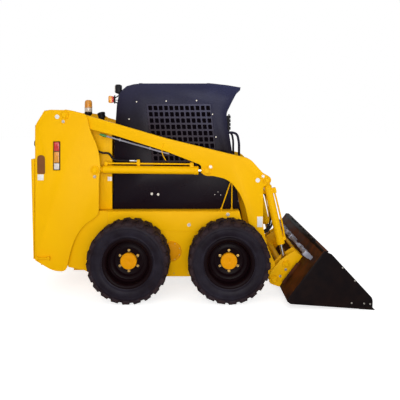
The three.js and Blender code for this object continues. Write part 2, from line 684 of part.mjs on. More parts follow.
function coupler() {
  const strip = (from, to, low, high) => [1, -1].map((side) => onSide(side, [
    alongBack(from, seatGap), alongBack(from, seatGap + 14), alongBack(to, seatGap + 14),
    alongBack(to, seatGap),
  ], low, high));
  const half = (side) => join(
    onSide(side, earOutline, ...innerEar), onSide(side, earOutline, ...outerEar),
    crossBar(side, bucketPivot, pinRadius, innerEar[0] + 1, outerEar[1] - 1),
  );
  const topBar = crossBar(1, alongBack(earTop - 20, 19), 18, -outerEar[1], outerEar[1]);
  const lowBar = crossBar(1, alongBack(140, 62), 34, -innerEar[1] + 2, innerEar[1] - 2, 20);
  return piece('coupler', yellow(), join(half(1), half(-1), topBar, lowBar,
    ...strip(0, earTop, innerEar[0] - 130, innerEar[1]), ...strip(0, 120, innerEar[0], outerEar[1]),
    ...strip(earTop - 52, earTop, innerEar[0], outerEar[1])));
}

const lipTip = [nose + 1317, 0];
const heel = [nose + 518, 54];
const backTop = alongBack(543);
const edgeThickness = 22;

function bucket() {
  const floorSlope = Math.atan2(heel[1] - lipTip[1], lipTip[0] - heel[0]);
  const half = bucketWidth / 2;
  const onFloor = (distance, lift = 0) => [
    lipTip[0] - distance * Math.cos(floorSlope) + lift * Math.sin(floorSlope),
    lipTip[1] + distance * Math.sin(floorSlope) + lift * Math.cos(floorSlope),
  ];
  const floorEnd = onFloor(150, 1);
  const shellLine = [floorEnd, [heel[0] + 30, heel[1]], [heel[0], heel[1] + 22], backFoot, backTop,
    [backTop[0] + 40, backTop[1] - 3]];
  const shell = across(folded(shellLine, bucketPlate), -half, half);
  const cheek = [
    floorEnd, [heel[0] + 30, heel[1]], [heel[0], heel[1] + 22], backFoot, backTop,
    [nose + 923, 507, 20], [nose + 1296, 104, 30], onFloor(26, edgeThickness + 4), onFloor(150, edgeThickness + 4),
  ];
  const cheeks = [1, -1].map((side) => onSide(side, cheek, half - 14, half));
  return { onFloor, body: piece('bucket', blackSteel(), join(shell, ...cheeks)) };
}

function cuttingEdge(onFloor) {
  const half = bucketWidth / 2;
  const profile = [
    onFloor(0), onFloor(150 - seatGap), onFloor(150 - seatGap, edgeThickness), onFloor(28, edgeThickness),
  ];
  return piece('cutting_edge', blackSteel(), across(profile, -half, half));
}

// ---------------------------------------------------------------- the machine
const loader = new THREE.Group();
loader.add(chassis(), engine(), engineLid(), beacon(), intakeCap(), rearDoor());
loader.add(cabRoof(), cabBack(), rearPane(), seatBase(), seatCushion(), seatBack(), lapBar());
loader.add(crossTube(), coupler());

const { onFloor, body: bucketBody } = bucket();
loader.add(bucketBody, cuttingEdge(onFloor));

for (const [hand, side] of [['right', -1], ['left', 1]]) {
  loader.add(tower(`tower_${hand}`, side), cabSide(`cab_side_${hand}`, side));
  loader.add(sideScreen(`side_screen_${hand}`, side), grabHandle(`grab_handle_${hand}`, side));
  loader.add(stay(`stay_${hand}`, side), lever(`control_lever_${hand}`, side), arm(`arm_${hand}`, side));
  loader.add(barrel(`lift_barrel_${hand}`, side, liftFoot, liftEye, liftBarrel, liftRod,
    liftBarrelLength, pinRadius));
  loader.add(rod(`lift_rod_${hand}`, side, liftFoot, liftEye, liftRod, liftPiston, liftEyeRadius));
  loader.add(barrel(`tilt_barrel_${hand}`, side, tiltHead, tiltEye, tiltBarrel, tiltRod,
    tiltBarrelLength, pinRadius - 6));
  loader.add(rod(`tilt_rod_${hand}`, side, tiltHead, tiltEye, tiltRod, tiltPiston, tiltEyeRadius));
  for (const [end, x] of [['front', nose], ['rear', tail]]) {
    loader.add(axle(`axle_${end}_${hand}`, side, x));
    loader.add(tyre(`tyre_${end}_${hand}`, side, x), rim(`rim_${end}_${hand}`, side, x));
  }
}

export default loader;
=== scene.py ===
"""Skid steer loader: finishes, fittings and stage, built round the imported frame."""
import sys
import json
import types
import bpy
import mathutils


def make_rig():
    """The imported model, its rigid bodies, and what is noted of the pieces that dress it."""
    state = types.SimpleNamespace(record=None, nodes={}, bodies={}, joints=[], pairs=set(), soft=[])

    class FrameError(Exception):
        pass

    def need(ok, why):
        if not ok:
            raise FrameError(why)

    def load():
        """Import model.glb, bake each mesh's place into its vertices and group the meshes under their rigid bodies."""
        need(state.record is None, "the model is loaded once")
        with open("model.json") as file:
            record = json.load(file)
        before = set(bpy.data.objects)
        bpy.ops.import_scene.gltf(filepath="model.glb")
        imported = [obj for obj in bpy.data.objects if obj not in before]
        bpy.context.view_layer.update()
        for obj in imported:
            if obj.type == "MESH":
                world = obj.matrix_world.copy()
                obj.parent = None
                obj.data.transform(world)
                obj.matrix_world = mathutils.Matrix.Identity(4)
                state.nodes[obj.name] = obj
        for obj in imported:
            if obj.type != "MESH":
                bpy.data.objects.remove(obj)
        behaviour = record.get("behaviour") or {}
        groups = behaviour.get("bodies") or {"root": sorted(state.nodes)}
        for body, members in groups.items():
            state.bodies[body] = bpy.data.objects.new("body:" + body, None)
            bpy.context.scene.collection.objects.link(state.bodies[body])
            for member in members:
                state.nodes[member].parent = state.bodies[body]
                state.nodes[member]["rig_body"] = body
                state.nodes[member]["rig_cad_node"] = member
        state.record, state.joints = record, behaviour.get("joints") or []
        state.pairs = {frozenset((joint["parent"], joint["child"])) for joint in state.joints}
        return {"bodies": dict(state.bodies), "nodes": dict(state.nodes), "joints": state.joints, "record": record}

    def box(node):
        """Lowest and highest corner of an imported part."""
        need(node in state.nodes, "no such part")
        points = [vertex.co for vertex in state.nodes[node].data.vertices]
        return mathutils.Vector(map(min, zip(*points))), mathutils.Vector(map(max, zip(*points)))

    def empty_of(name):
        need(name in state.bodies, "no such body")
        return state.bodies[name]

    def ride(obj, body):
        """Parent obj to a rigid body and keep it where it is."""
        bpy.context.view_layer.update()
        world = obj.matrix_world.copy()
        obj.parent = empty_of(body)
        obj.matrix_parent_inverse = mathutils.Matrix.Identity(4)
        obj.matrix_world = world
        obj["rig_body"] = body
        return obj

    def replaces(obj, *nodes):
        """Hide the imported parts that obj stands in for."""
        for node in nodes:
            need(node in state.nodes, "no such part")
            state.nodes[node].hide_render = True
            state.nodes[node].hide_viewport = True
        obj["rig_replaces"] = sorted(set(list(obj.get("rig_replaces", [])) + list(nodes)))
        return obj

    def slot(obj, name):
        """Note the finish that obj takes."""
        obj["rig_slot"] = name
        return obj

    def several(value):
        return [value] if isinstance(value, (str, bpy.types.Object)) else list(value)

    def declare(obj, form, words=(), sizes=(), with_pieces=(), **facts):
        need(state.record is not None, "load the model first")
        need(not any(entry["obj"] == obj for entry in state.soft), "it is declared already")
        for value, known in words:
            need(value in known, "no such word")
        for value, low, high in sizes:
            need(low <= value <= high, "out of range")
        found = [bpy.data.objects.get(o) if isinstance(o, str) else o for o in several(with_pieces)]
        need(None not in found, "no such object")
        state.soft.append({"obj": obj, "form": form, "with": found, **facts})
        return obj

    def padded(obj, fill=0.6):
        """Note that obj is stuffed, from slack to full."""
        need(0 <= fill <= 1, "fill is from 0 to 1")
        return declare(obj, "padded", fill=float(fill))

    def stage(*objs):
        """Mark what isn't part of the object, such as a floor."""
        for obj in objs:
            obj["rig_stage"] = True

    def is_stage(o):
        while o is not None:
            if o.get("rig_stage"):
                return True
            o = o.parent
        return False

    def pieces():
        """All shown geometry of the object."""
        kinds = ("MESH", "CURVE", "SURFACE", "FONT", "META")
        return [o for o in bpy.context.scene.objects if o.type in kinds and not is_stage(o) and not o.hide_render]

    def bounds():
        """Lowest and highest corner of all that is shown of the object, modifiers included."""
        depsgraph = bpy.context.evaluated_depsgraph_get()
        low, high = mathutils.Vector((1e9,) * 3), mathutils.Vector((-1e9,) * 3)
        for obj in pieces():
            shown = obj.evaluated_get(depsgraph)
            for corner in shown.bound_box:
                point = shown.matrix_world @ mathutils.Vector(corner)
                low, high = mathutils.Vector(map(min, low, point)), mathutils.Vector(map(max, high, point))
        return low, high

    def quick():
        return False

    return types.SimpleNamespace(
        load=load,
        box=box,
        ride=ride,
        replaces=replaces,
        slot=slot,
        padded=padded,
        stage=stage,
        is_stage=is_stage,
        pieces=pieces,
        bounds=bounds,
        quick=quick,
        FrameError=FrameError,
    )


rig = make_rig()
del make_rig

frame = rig.load()

import json
import math

import bmesh
import bpy
from bpy.props import FloatProperty, FloatVectorProperty, IntProperty, PointerProperty
from mathutils import Matrix, Vector

bl_info = {
    "name": "Skid Steer Loader",
    "version": (1, 0, 0),
    "blender": (4, 5, 0),
    "location": "3D View > Sidebar > Loader",
    "description": "Builds the finishes, fittings and stage of a skid steer loader",
    "category": "Object",
}

# ---------------------------------------------------------------- stations of the frame, in metres
CAD_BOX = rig.bounds()
PIVOT = {joint["name"]: Vector(joint.get("pos_m", (0, 0, 0))) for joint in frame["joints"]}
SIDES = {"right": -1, "left": 1}
ENDS = ("front", "rear")
TAIL = PIVOT["wheel_rear_right_spin"].x
NOSE = PIVOT["wheel_front_right_spin"].x
TYRE_LOW = -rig.box("tyre_rear_right")[1].y
TYRE_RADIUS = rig.box("tyre_rear_right")[1].z / 2
TOWER_FACE = -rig.box("tower_right")[0].y
ARM_LOW, ARM_FACE = -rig.box("arm_right")[1].y, -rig.box("arm_right")[0].y
ARM_MID = (ARM_LOW + ARM_FACE) / 2
CASE_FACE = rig.box("chassis")[1].y
CAB_FACE = -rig.box("cab_side_right")[0].y
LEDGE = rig.box("cab_side_right")[0].z
CAB_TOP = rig.box("cab_roof")[1].z
BUCKET_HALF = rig.box("bucket")[1].y
LIFT_EYE = 0.042  # radius of the eye at the end of a lift rod
TILT_EYE = 0.028  # the same of a tilt rod
DOOR_LEAN = 0.0234  # how far the rear door leans forward over its height
LABEL = 0.0008  # thickness of a label


def rear(x, z, y=0.0):
    """A point given in millimetres from the rear axle's x, the ground and the middle plane."""
    return Vector((TAIL + x / 1000, y / 1000, z / 1000))


def front(x, z, y=0.0):
    """The same from the front axle's x."""
    return Vector((NOSE + x / 1000, y / 1000, z / 1000))


def rear_x(x):
    return TAIL + x / 1000


def front_x(x):
    return NOSE + x / 1000


def mm(*values):
    """Pairs in metres from a run of millimetres."""
    return [(first / 1000, second / 1000) for first, second in zip(values[::2], values[1::2])]


def outward(side):
    return Vector((0, side, 0))


def spoke(angle):
    """A unit vector in the side view, at an angle from forward."""
    return Vector((math.cos(angle), 0, math.sin(angle)))


# ---------------------------------------------------------------- shapes
def between(start, end):
    """Stands a shape made along Z on the line from start to end."""
    start, end = Vector(start), Vector(end)
    turn = (end - start).to_track_quat("Z", "Y").to_matrix().to_4x4()
    return Matrix.Translation((start + end) / 2) @ turn


def bar(shape, start, end, radius, end_radius=None, steps=20):
    """A round bar or cone with closed ends."""
    made = bmesh.ops.create_cone(shape, cap_ends=True, segments=steps, radius1=radius,
        radius2=radius if end_radius is None else end_radius,
        depth=(Vector(end) - Vector(start)).length, matrix=between(start, end))
    return made["verts"]


def brick(shape, low, high, edge=0.002, turn=None):
    """A block with rounded edges between two corners, turned about its own centre."""
    low, high = Vector(low), Vector(high)
    size = Matrix.Diagonal((*(abs(a - b) for a, b in zip(low, high)), 1))
    place = Matrix.Translation((low + high) / 2) @ (turn or Matrix.Identity(4))
    made = bmesh.ops.create_cube(shape, size=1, matrix=place @ size)
    if edge:
        round_off(shape, {e for v in made["verts"] for e in v.link_edges}, edge, 2)


def block(shape, at, half, edge, turn=None):
    """A block about its centre."""
    brick(shape, at - Vector(half), at + Vector(half), edge, turn)


def round_off(shape, edges, width, segments=2, clamp=True):
    return bmesh.ops.bevel(shape, geom=list(edges), offset=width, offset_type="OFFSET",
        segments=segments, profile=0.5, affect="EDGES", material=-1, clamp_overlap=clamp)["faces"]


def slab(shape, corners, low, high, edge=0.0):
    """A plate with a side outline of x and z, from one y to another."""
    verts = [shape.verts.new((x, low, z)) for x, z in corners]
    face = shape.faces.new(verts)
    made = bmesh.ops.extrude_face_region(shape, geom=[face])["geom"]
    moved = [v for v in made if isinstance(v, bmesh.types.BMVert)]
    bmesh.ops.translate(shape, verts=moved, vec=(0, high - low, 0))
    if edge:
        rims = {e for v in verts + moved for e in v.link_edges if e.calc_face_angle(0) > 0.6}
        round_off(shape, rims, edge, 2)


def lathe(shape, profile, start, along, steps=48, closed=False):
    """Spins a profile of radius and distance about the line from start."""
    start, along = Vector(start), Vector(along).normalized()
    out = along.orthogonal().normalized()
    verts = [shape.verts.new(start + out * radius + along * distance) for radius,
        distance in profile]
    pairs = list(zip(verts, verts[1:])) + ([(verts[-1], verts[0])] if closed else [])
    edges = [shape.edges.new(pair) for pair in pairs]
    bmesh.ops.spin(shape, geom=verts + edges, cent=start, axis=along, dvec=(0, 0, 0),
        angle=2 * math.pi, steps=steps, use_merge=True)


def pipe(shape, points, radius, sections=3, smooth=True):
    """A hose or bent pipe on one smooth curve through the points."""
    curve = bpy.data.curves.new("pipe_line", "CURVE")
    curve.dimensions = "3D"
    curve.bevel_depth = radius
    curve.bevel_resolution = sections
    curve.resolution_u = 8
    curve.use_fill_caps = True
    spline = curve.splines.new("BEZIER" if smooth else "POLY")
    target = spline.bezier_points if smooth else spline.points
    target.add(len(points) - 1)
    for knot, point in zip(target, points):
        if smooth:
            knot.co = point
            knot.handle_left_type = knot.handle_right_type = "AUTO"
        else:
            knot.co = (*point, 1)
    holder = bpy.data.objects.new("pipe_line", curve)
    mesh = bpy.data.meshes.new_from_object(holder)
    shape.from_mesh(mesh)
    bpy.data.objects.remove(holder)
    bpy.data.curves.remove(curve)
    bpy.data.meshes.remove(mesh)


def bolt(shape, at, out, size=0.016, washer=True):
    """A hexagon head on its washer, seated at a point and facing out."""
    at, out = Vector(at), Vector(out).normalized()
    thick = size * 0.18 if washer else 0
    if washer:
        bar(shape, at - out * 0.001, at + out * thick, size * 1.35, steps=18)
    verts = bar(shape, at + out * thick * 0.9, at + out * (thick + size * 0.75), size, steps=6)
    top = [e for v in verts for e in v.link_edges if all((w.co - at).dot(out) > thick + size * 0.5
        for w in e.verts)]
    round_off(shape, set(top), size * 0.12, 1)


def boss(shape, at, out, radius, height, pin):
    """A welded collar with the chamfered end of its pin."""
    collar = [(0, -0.002), (radius, -0.002), (radius, height * 0.75), (radius - height * 0.25,
        height), (pin + 0.004, height), (pin + 0.003, height - 0.003), (pin, height - 0.003),
        (pin, height + 0.006), (pin - 0.004, height + 0.01), (0, height + 0.01)]
    lathe(shape, collar, at, out, 40)


def softened(node, width=0.003, segments=2, clean=0.0006, limit=0.6):
    """A merged copy of a CAD node with its hard edges rounded, and those faces marked as edge."""
    shape = bmesh.new()
    shape.from_mesh(frame["nodes"][node].data)
    bmesh.ops.remove_doubles(shape, verts=shape.verts, dist=1e-05)
    bmesh.ops.dissolve_degenerate(shape, edges=shape.edges, dist=clean)
    bmesh.ops.dissolve_limit(shape, angle_limit=0.01, verts=shape.verts, edges=shape.edges)
    hard = [e for e in shape.edges if e.is_manifold and abs(e.calc_face_angle(0)) > limit
        and (e.calc_length() > clean)]
    faces = round_off(shape, hard, width, segments, clamp=False)
    mark = shape.loops.layers.float.new("edge")
    for face in faces:
        for loop in face.loops:
            loop[mark] = 1.0
    return shape


def place(name, shape, body, finish, replaces=(), slot="", smooth=35, tidy=True):
    """Turns a shape into a named piece with a finish, riding on a body."""
    if tidy:
        bmesh.ops.remove_doubles(shape, verts=shape.verts, dist=1e-6)
        bmesh.ops.recalc_face_normals(shape, faces=shape.faces)
    mesh = bpy.data.meshes.new(name)
    shape.to_mesh(mesh)
    shape.free()
    finishes = [finish] if isinstance(finish, str) else finish
    for one in finishes:
        mesh.materials.append(material(one))
    mesh.shade_smooth()
    mesh.set_sharp_from_angle(angle=math.radians(smooth))
    piece = bpy.data.objects.new(name, mesh)
    bpy.context.scene.collection.objects.link(piece)
    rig.ride(piece, body)
    slot = slot or SLOTS.get(finishes[0], finishes[0])
    if slot:
        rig.slot(piece, slot)
    if replaces:
        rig.replaces(piece, *replaces)
    return piece


def simple(name, body, finish, make, *values, replaces=(), slot=""):
    """A piece of one plain shape."""
    shape = bmesh.new()
    make(shape, *values)
    place(name, shape, body, finish, replaces, slot)


# ---------------------------------------------------------------- shared effects
def join(tree, node, inputs):
    """Links each input that is given a socket, and sets the others."""
    for key, value in inputs.items():
        if isinstance(value, bpy.types.NodeSocket):
            tree.links.new(value, node.inputs[key])
        else:
            node.inputs[key].default_value = value


def put(tree, kind, inputs=None, **settings):
    """Adds a node, sets it and joins its inputs."""
    node = tree.nodes.new(kind)
    for key, value in settings.items():
        setattr(node, key, value)
    join(tree, node, inputs or {})
    return node


def calc(tree, operation, first, second):
    return put(tree, "ShaderNodeMath", {0: first, 1: second}, operation=operation).outputs[0]


def times(tree, first, second):
    return calc(tree, "MULTIPLY", first, second)


def ranged(tree, value, low, high, to_low=0.0, to_high=1.0):
    return put(tree, "ShaderNodeMapRange", {
        "Value": value, "From Min": low, "From Max": high, "To Min": to_low, "To Max": to_high,
    }).outputs["Result"]


def mixed(tree, mask, first, second):
    """The colour between two others."""
    return put(tree, "ShaderNodeMix", {0: mask, 6: first, 7: second}, data_type="RGBA").outputs[2]


def on_object(tree):
    return put(tree, "ShaderNodeTexCoord").outputs["Object"]


def noise(tree, scale, detail=4.0, roughness=0.55):
    return put(tree, "ShaderNodeTexNoise", {
        "Vector": on_object(tree), "Scale": scale, "Detail": detail, "Roughness": roughness,
    }).outputs["Fac"]


GREY = (0.5, 0.5, 0.5, 1)
KIND = {"Color": "NodeSocketColor", "Mask": "NodeSocketFloat", "Height": "NodeSocketFloat"}


def effect(*outputs, **inputs):
    """Turns a function that adds nodes into a shared effect with named sockets, made once."""
    def named(build):
        def made():
            tree = bpy.data.node_groups.get(build.__name__)
            if tree:
                return tree
            tree = bpy.data.node_groups.new(build.__name__, "ShaderNodeTree")
            for label, default in inputs.items():
                kind = "NodeSocketFloat" if isinstance(default, float) else "NodeSocketColor"
                socket = tree.interface.new_socket(label, in_out="INPUT", socket_type=kind)
                socket.default_value = default
            for label in outputs:
                tree.interface.new_socket(label, in_out="OUTPUT", socket_type=KIND[label])
            given = tree.nodes.new("NodeGroupInput").outputs
            join(tree, tree.nodes.new("NodeGroupOutput"), build(tree, given))
            return tree
        return made
    return named


def over(tree, given, mask, first, second):
    return {"Color": mixed(tree, mask, given[first], given[second]), "Mask": mask}


@effect("Color", "Mask", Color=GREY, Shade=GREY, Scale=3.0, Amount=0.5)
def mottle(tree, given):
    """Slow change of tone over a painted or moulded surface."""
    patch = ranged(tree, noise(tree, given["Scale"], 5), 0.3, 0.72)
    return over(tree, given, times(tree, patch, given["Amount"]), "Color", "Shade")


@effect("Color", "Mask", Upper=GREY, Lower=GREY, Top=2.0, Bottom=1.0)
def height_tone(tree, given):
    """Painted reflection: one colour high up, for the sky, that turns into another lower down, for the ground, further
    down towards the front.
    """
    height = put(tree, "ShaderNodeVectorMath", {0: on_object(tree), 1: (0.28, 0.0, 1.0)},
                 operation="DOT_PRODUCT").outputs["Value"]
    uneven = calc(tree, "ADD", height, times(tree, noise(tree, 4.0, 6), 0.3))
    mask = ranged(tree, uneven, given["Top"], given["Bottom"])
    return over(tree, given, mask, "Upper", "Lower")


@effect("Color", "Mask", Color=GREY, Dust=GREY, Height=0.8, Amount=0.5)
def ground_dust(tree, given):
    """Colour that lies thicker near the ground, broken up by fine and coarse noise: real dust on most finishes,
    painted shade on the yellow paint, and painted reflection on the cab.
    """
    height = put(tree, "ShaderNodeSeparateXYZ", {"Vector": on_object(tree)}).outputs["Z"]
    low = ranged(tree, height, given["Height"], 0.0)
    broken = ranged(tree, noise(tree, 9.0, 8, 0.7), 0.35, 0.7)
    mask = times(tree, times(tree, low, broken), given["Amount"])
    return over(tree, given, mask, "Color", "Dust")


@effect("Color", "Mask", Color=GREY, Bare=GREY, Scale=14.0, Amount=0.5)
def edge_wear(tree, given):
    """Paint rubbed off the rounded edges, and fine scratches between them."""
    edge = put(tree, "ShaderNodeAttribute", attribute_name="edge").outputs["Fac"]
    rubbed = times(tree, edge, ranged(tree, noise(tree, 38.0, 6, 0.65), 0.5, 0.56))
    scratch = ranged(tree, noise(tree, given["Scale"], 10, 0.75), 0.66, 0.7)
    both = calc(tree, "MAXIMUM", rubbed, times(tree, scratch, 0.6))
    return over(tree, given, times(tree, both, given["Amount"]), "Color", "Bare")


@effect("Height", Scale=300.0, Depth=1.0)
def fine_grain(tree, given):
    """The height of a fine orange peel, casting skin or leather grain."""
    return {"Height": times(tree, noise(tree, given["Scale"], 3), given["Depth"])}


# ---------------------------------------------------------------- finishes
def rgb(*values):
    return (*values, 1.0)


def shared(tree, group, **inputs):
    return put(tree, "ShaderNodeGroup", inputs, node_tree=group()).outputs


def started(name):
    made = bpy.data.materials.new(name)
    made.use_nodes = True
    return made, made.node_tree, made.node_tree.nodes["Principled BSDF"]


def grained(tree, scale, depth, distance=0.0006):
    height = shared(tree, fine_grain, Scale=scale, Depth=1.0)["Height"]
    return put(tree, "ShaderNodeBump", {
        "Height": height, "Strength": depth, "Distance": distance}).outputs["Normal"]


def coated(name, colour, shade, rough=(0.32, 0.5), dust=0.35, height=0.7, wear=0.3,
           bare=(0.05, 0.03, 0.02), metal=0.0, tone=0.5, tone_scale=2.5, grain=(260, 0.12),
           dust_colour=(0.16, 0.09, 0.045), scratch=14.0, gloss=0.3):
    """Paint on steel: tone, edge wear and colour near the ground, with roughness that follows them; that colour is
    dust on most finishes, painted shade on the yellow paint and painted reflection on the cab.
    """
    made, tree, shader = started(name)
    first = shared(tree, mottle, Color=rgb(*colour), Shade=rgb(*shade), Scale=tone_scale,
                   Amount=tone)
    second = shared(tree, edge_wear, Color=first["Color"], Bare=rgb(*bare), Scale=scratch,
                    Amount=wear)
    third = shared(tree, ground_dust, Color=second["Color"], Dust=rgb(*dust_colour),
                   Height=height, Amount=dust)
    worn = calc(tree, "MAXIMUM", third["Mask"], first["Mask"])
    join(tree, shader, {
        "Base Color": third["Color"], "Roughness": ranged(tree, worn, 0.0, 1.0, *rough),
        "Metallic": metal, "Specular IOR Level": gloss, "Coat Roughness": 0.12,
        "Normal": grained(tree, *grain)})
    return made


def plain(name, colour, shade, rough=0.4, metal=0.0, grain=(200, 0.1), amount=0.5, scale=6.0,
          transmission=0.0, coat=0.0, gloss=0.4, sheen=0.0):
    """Bare, moulded or plated finish with a slow change of tone."""
    made, tree, shader = started(name)
    first = shared(tree, mottle, Color=rgb(*colour), Shade=rgb(*shade), Scale=scale,
                   Amount=amount)
    join(tree, shader, {
        "Base Color": first["Color"],
        "Roughness": ranged(tree, first["Mask"], 0.0, 1.0, rough, min(1.0, rough + 0.14)),
        "Metallic": metal, "Transmission Weight": transmission, "Specular IOR Level": gloss,
        "Coat Weight": coat, "Sheen Weight": sheen})
    if grain:
        join(tree, shader, {"Normal": grained(tree, *grain)})
    return made


def tyre_rubber(name):
    """Black rubber, brown with dust on the lugs and shoulders, with lighter bluish patches of painted sheen."""
    made, tree, shader = started(name)
    # The lighter, bluish shade of this mottle is painted sheen on the rubber.
    tone = shared(tree, mottle, Color=rgb(0.0055, 0.0022, 0.0052),
                  Shade=rgb(0.019, 0.016, 0.026), Scale=7.0, Amount=0.8)
    tread = put(tree, "ShaderNodeAttribute", attribute_name="tread").outputs["Fac"]
    caked = ranged(tree, noise(tree, 16.0, 8, 0.7), 0.36, 0.66, 0.12, 0.8)
    mask = times(tree, tread, caked)
    join(tree, shader, {
        "Base Color": mixed(tree, mask, tone["Color"], rgb(0.046, 0.024, 0.022)),
        "Roughness": ranged(tree, mask, 0.0, 0.8, 0.42, 0.85), "Specular IOR Level": 0.10,
        "Normal": grained(tree, 420, 0.35, 0.0008)})
    return made


def tinted(colour, tint):
    return tuple(a * b for a, b in zip(colour, tint))


def body_yellow(name, tint=(1.0, 1.0, 1.0), **changes):
    paint = bpy.context.scene.loader_paint
    colour = tinted(paint.body_colour, tint)
    # The orange colour low down here is painted shade of the low parts of the frame, arms and doors.
    values = dict(rough=(0.30, 0.55), dust=paint.dust, height=0.75, wear=0.22, gloss=0.05,
                  bare=(0.16, 0.075, 0.02), tone=0.55, dust_colour=(0.92, 0.37, 0.002))
    return coated(name, colour, tinted(colour, (0.94, 0.88, 1.0)), **values | changes)


def cab_black(name, tint=(1.0, 1.0, 1.0)):
    """Black paint with painted reflection: a lighter blue cast high up for the sky, and a reddish dark low down for
    the ground.
    """
    colour = tinted(bpy.context.scene.loader_paint.cab_colour, tint)
    # The reddish-black colour low down here is painted reflection of the ground.
    made = coated(name, colour, tinted(colour, (0.5, 0.5, 0.5)), rough=(0.24, 0.42), dust=0.3,
                  height=1.0, wear=0.12, gloss=0.08, bare=(0.10, 0.10, 0.11), tone_scale=2.2,
                  dust_colour=(0.010, 0.0015, 0.002))
    tree = made.node_tree
    # Painted reflection: lighter and bluer high up, redder lower down, fed into the mottle's colour.
    tone = shared(tree, height_tone, Upper=rgb(*tinted(colour, (4.0, 4.4, 4.4))),
                  Lower=rgb(*tinted(colour, (1.1, 0.5, 0.35))), Top=2.34, Bottom=1.62)
    first = next(node for node in tree.nodes
                 if node.type == "GROUP" and node.node_tree.name == "mottle")
    tree.links.new(tone["Color"], first.inputs["Color"])
    return made


def bucket_paint(name, rust, colour=None, shade=(0.060, 0.020, 0.008), **changes):
    values = dict(rough=(0.36, 0.8), dust=0.15, height=0.6, wear=0.2, bare=(0.09, 0.036, 0.016),
                  tone_scale=4.5, dust_colour=(0.05, 0.022, 0.012), grain=(90, 0.4),
                  scratch=22.0, gloss=0.1)
    colour = colour or tuple(bpy.context.scene.loader_paint.bucket_colour)
    return coated(name, colour, shade, tone=rust, **values | changes)


def look(kind, *colours, **values):
    return kind, colours, values


FINISHES = {
    "yellow_paint": look(body_yellow),
    # A darker, more orange copy of the yellow paint: painted shade on the hub caps and the case cover.
    "yellow_hub": look(body_yellow, (0.82, 0.62, 1.0), dust=0.3, height=0.9),
    "cab_paint": look(cab_black),
    # The cab paint made lighter for the screen's bars: painted light.
    "screen_paint": look(cab_black, (2.4, 2.4, 1.8)),
    "bucket_steel": look(bucket_paint, 0.05, gloss=0.06),
    "bucket_back": look(bucket_paint, 0.9, (0.012, 0.004, 0.003), (0.125, 0.030, 0.004),
                          wear=0.5, tone_scale=6.0),
    "black_steel": look(coated, (0.011, 0.010, 0.013), (0.024, 0.021, 0.022), gloss=0.12,
                          rough=(0.35, 0.6), wear=0.35, bare=(0.12, 0.11, 0.11)),
    "tyre_rubber": look(tyre_rubber),
    "rim_paint": look(coated, (0.0045, 0.0012, 0.0022), (0.008, 0.003, 0.0045), dust=0.3,
                        rough=(0.22, 0.6), height=0.8, wear=0.12, gloss=0.05,
                        bare=(0.08, 0.07, 0.07), dust_colour=(0.014, 0.006, 0.006)),
    "rod_chrome": look(plain, (0.72, 0.72, 0.74), (0.6, 0.6, 0.6), 0.1, 1.0, grain=None,
                         amount=0.3),
    "zinc": look(plain, (0.50, 0.47, 0.42), (0.28, 0.24, 0.19), 0.32, 0.9, scale=40.0),
    "brass": look(plain, (0.62, 0.42, 0.14), (0.35, 0.22, 0.08), 0.34, 0.9, scale=40.0),
    "worn_steel": look(coated, (0.30, 0.30, 0.36), (0.17, 0.165, 0.19), rough=(0.38, 0.6),
                         metal=0.3, wear=0.5, bare=(0.4, 0.39, 0.4), dust=0.3),
    "engine_iron": look(coated, (0.075, 0.078, 0.084), (0.045, 0.04, 0.038),
                          rough=(0.5, 0.8), metal=0.3, grain=(120, 0.5)),
    "seat_vinyl": look(plain, (0.020, 0.020, 0.022), (0.034, 0.033, 0.034), 0.48,
                         grain=(520, 0.5), amount=0.6, sheen=0.15),
    "hose_rubber": look(plain, (0.009, 0.008, 0.010), (0.02, 0.018, 0.018), 0.45,
                          gloss=0.12, grain=(300, 0.3), scale=20.0),
    "moulded_black": look(plain, (0.007, 0.007, 0.010), (0.016, 0.015, 0.017), 0.38,
                            gloss=0.12, grain=(400, 0.25)),
    "pocket_brown": look(plain, (0.22, 0.070, 0.012), (0.09, 0.028, 0.006), 0.7,
                           grain=(60, 0.3)),
    "amber_lens": look(plain, (0.92, 0.40, 0.03), (0.84, 0.28, 0.01), 0.12,
                         transmission=0.25, coat=0.5, grain=None, amount=0.4),
    "red_lens": look(plain, (0.60, 0.022, 0.012), (0.42, 0.012, 0.01), 0.16, coat=0.5,
                       grain=None),
    "clear_lens": look(plain, (0.72, 0.66, 0.60), (0.55, 0.5, 0.46), 0.12, coat=0.5,
                         grain=None),
    "blank_label": look(plain, (0.80, 0.79, 0.77), (0.62, 0.60, 0.57), 0.5, scale=14.0,
                          grain=None),
    "green_fitting": look(plain, (0.06, 0.26, 0.05), (0.03, 0.13, 0.03), scale=30.0),
    # A near-black pane that lets almost no light through: painted shade of the cab seen through the screen's holes.
    "smoked_pane": look(plain, (0.0028, 0.0016, 0.0030), (0.002, 0.001, 0.002), 0.5,
                          transmission=0.01, gloss=0.0, grain=None, scale=5.0),
    "window": look(plain, (0.55, 0.62, 0.62), (0.42, 0.48, 0.48), 0.04, transmission=0.9,
                     grain=None, amount=0.3),
}
# The slot of each finish that is not named after its slot.
SLOTS = {
    "yellow_hub": "yellow_paint", "screen_paint": "cab_paint", "bucket_back": "bucket_steel",
    "zinc": "rod_chrome", "brass": "rod_chrome", "worn_steel": "bucket_steel",
    "hose_rubber": "tyre_rubber", "moulded_black": "black_steel",
    "pocket_brown": "black_steel", "red_lens": "amber_lens", "clear_lens": "amber_lens",
    "smoked_pane": "window", "blank_label": None, "green_fitting": None,
}


def material(name):
    """The finish of that name, made when first asked for."""
    made = bpy.data.materials.get(f"{name}_finish")
    if not made:
        kind, colours, values = FINISHES[name]
        made = kind(name, *colours, **values)
        made.name = f"{name}_finish"
    return made


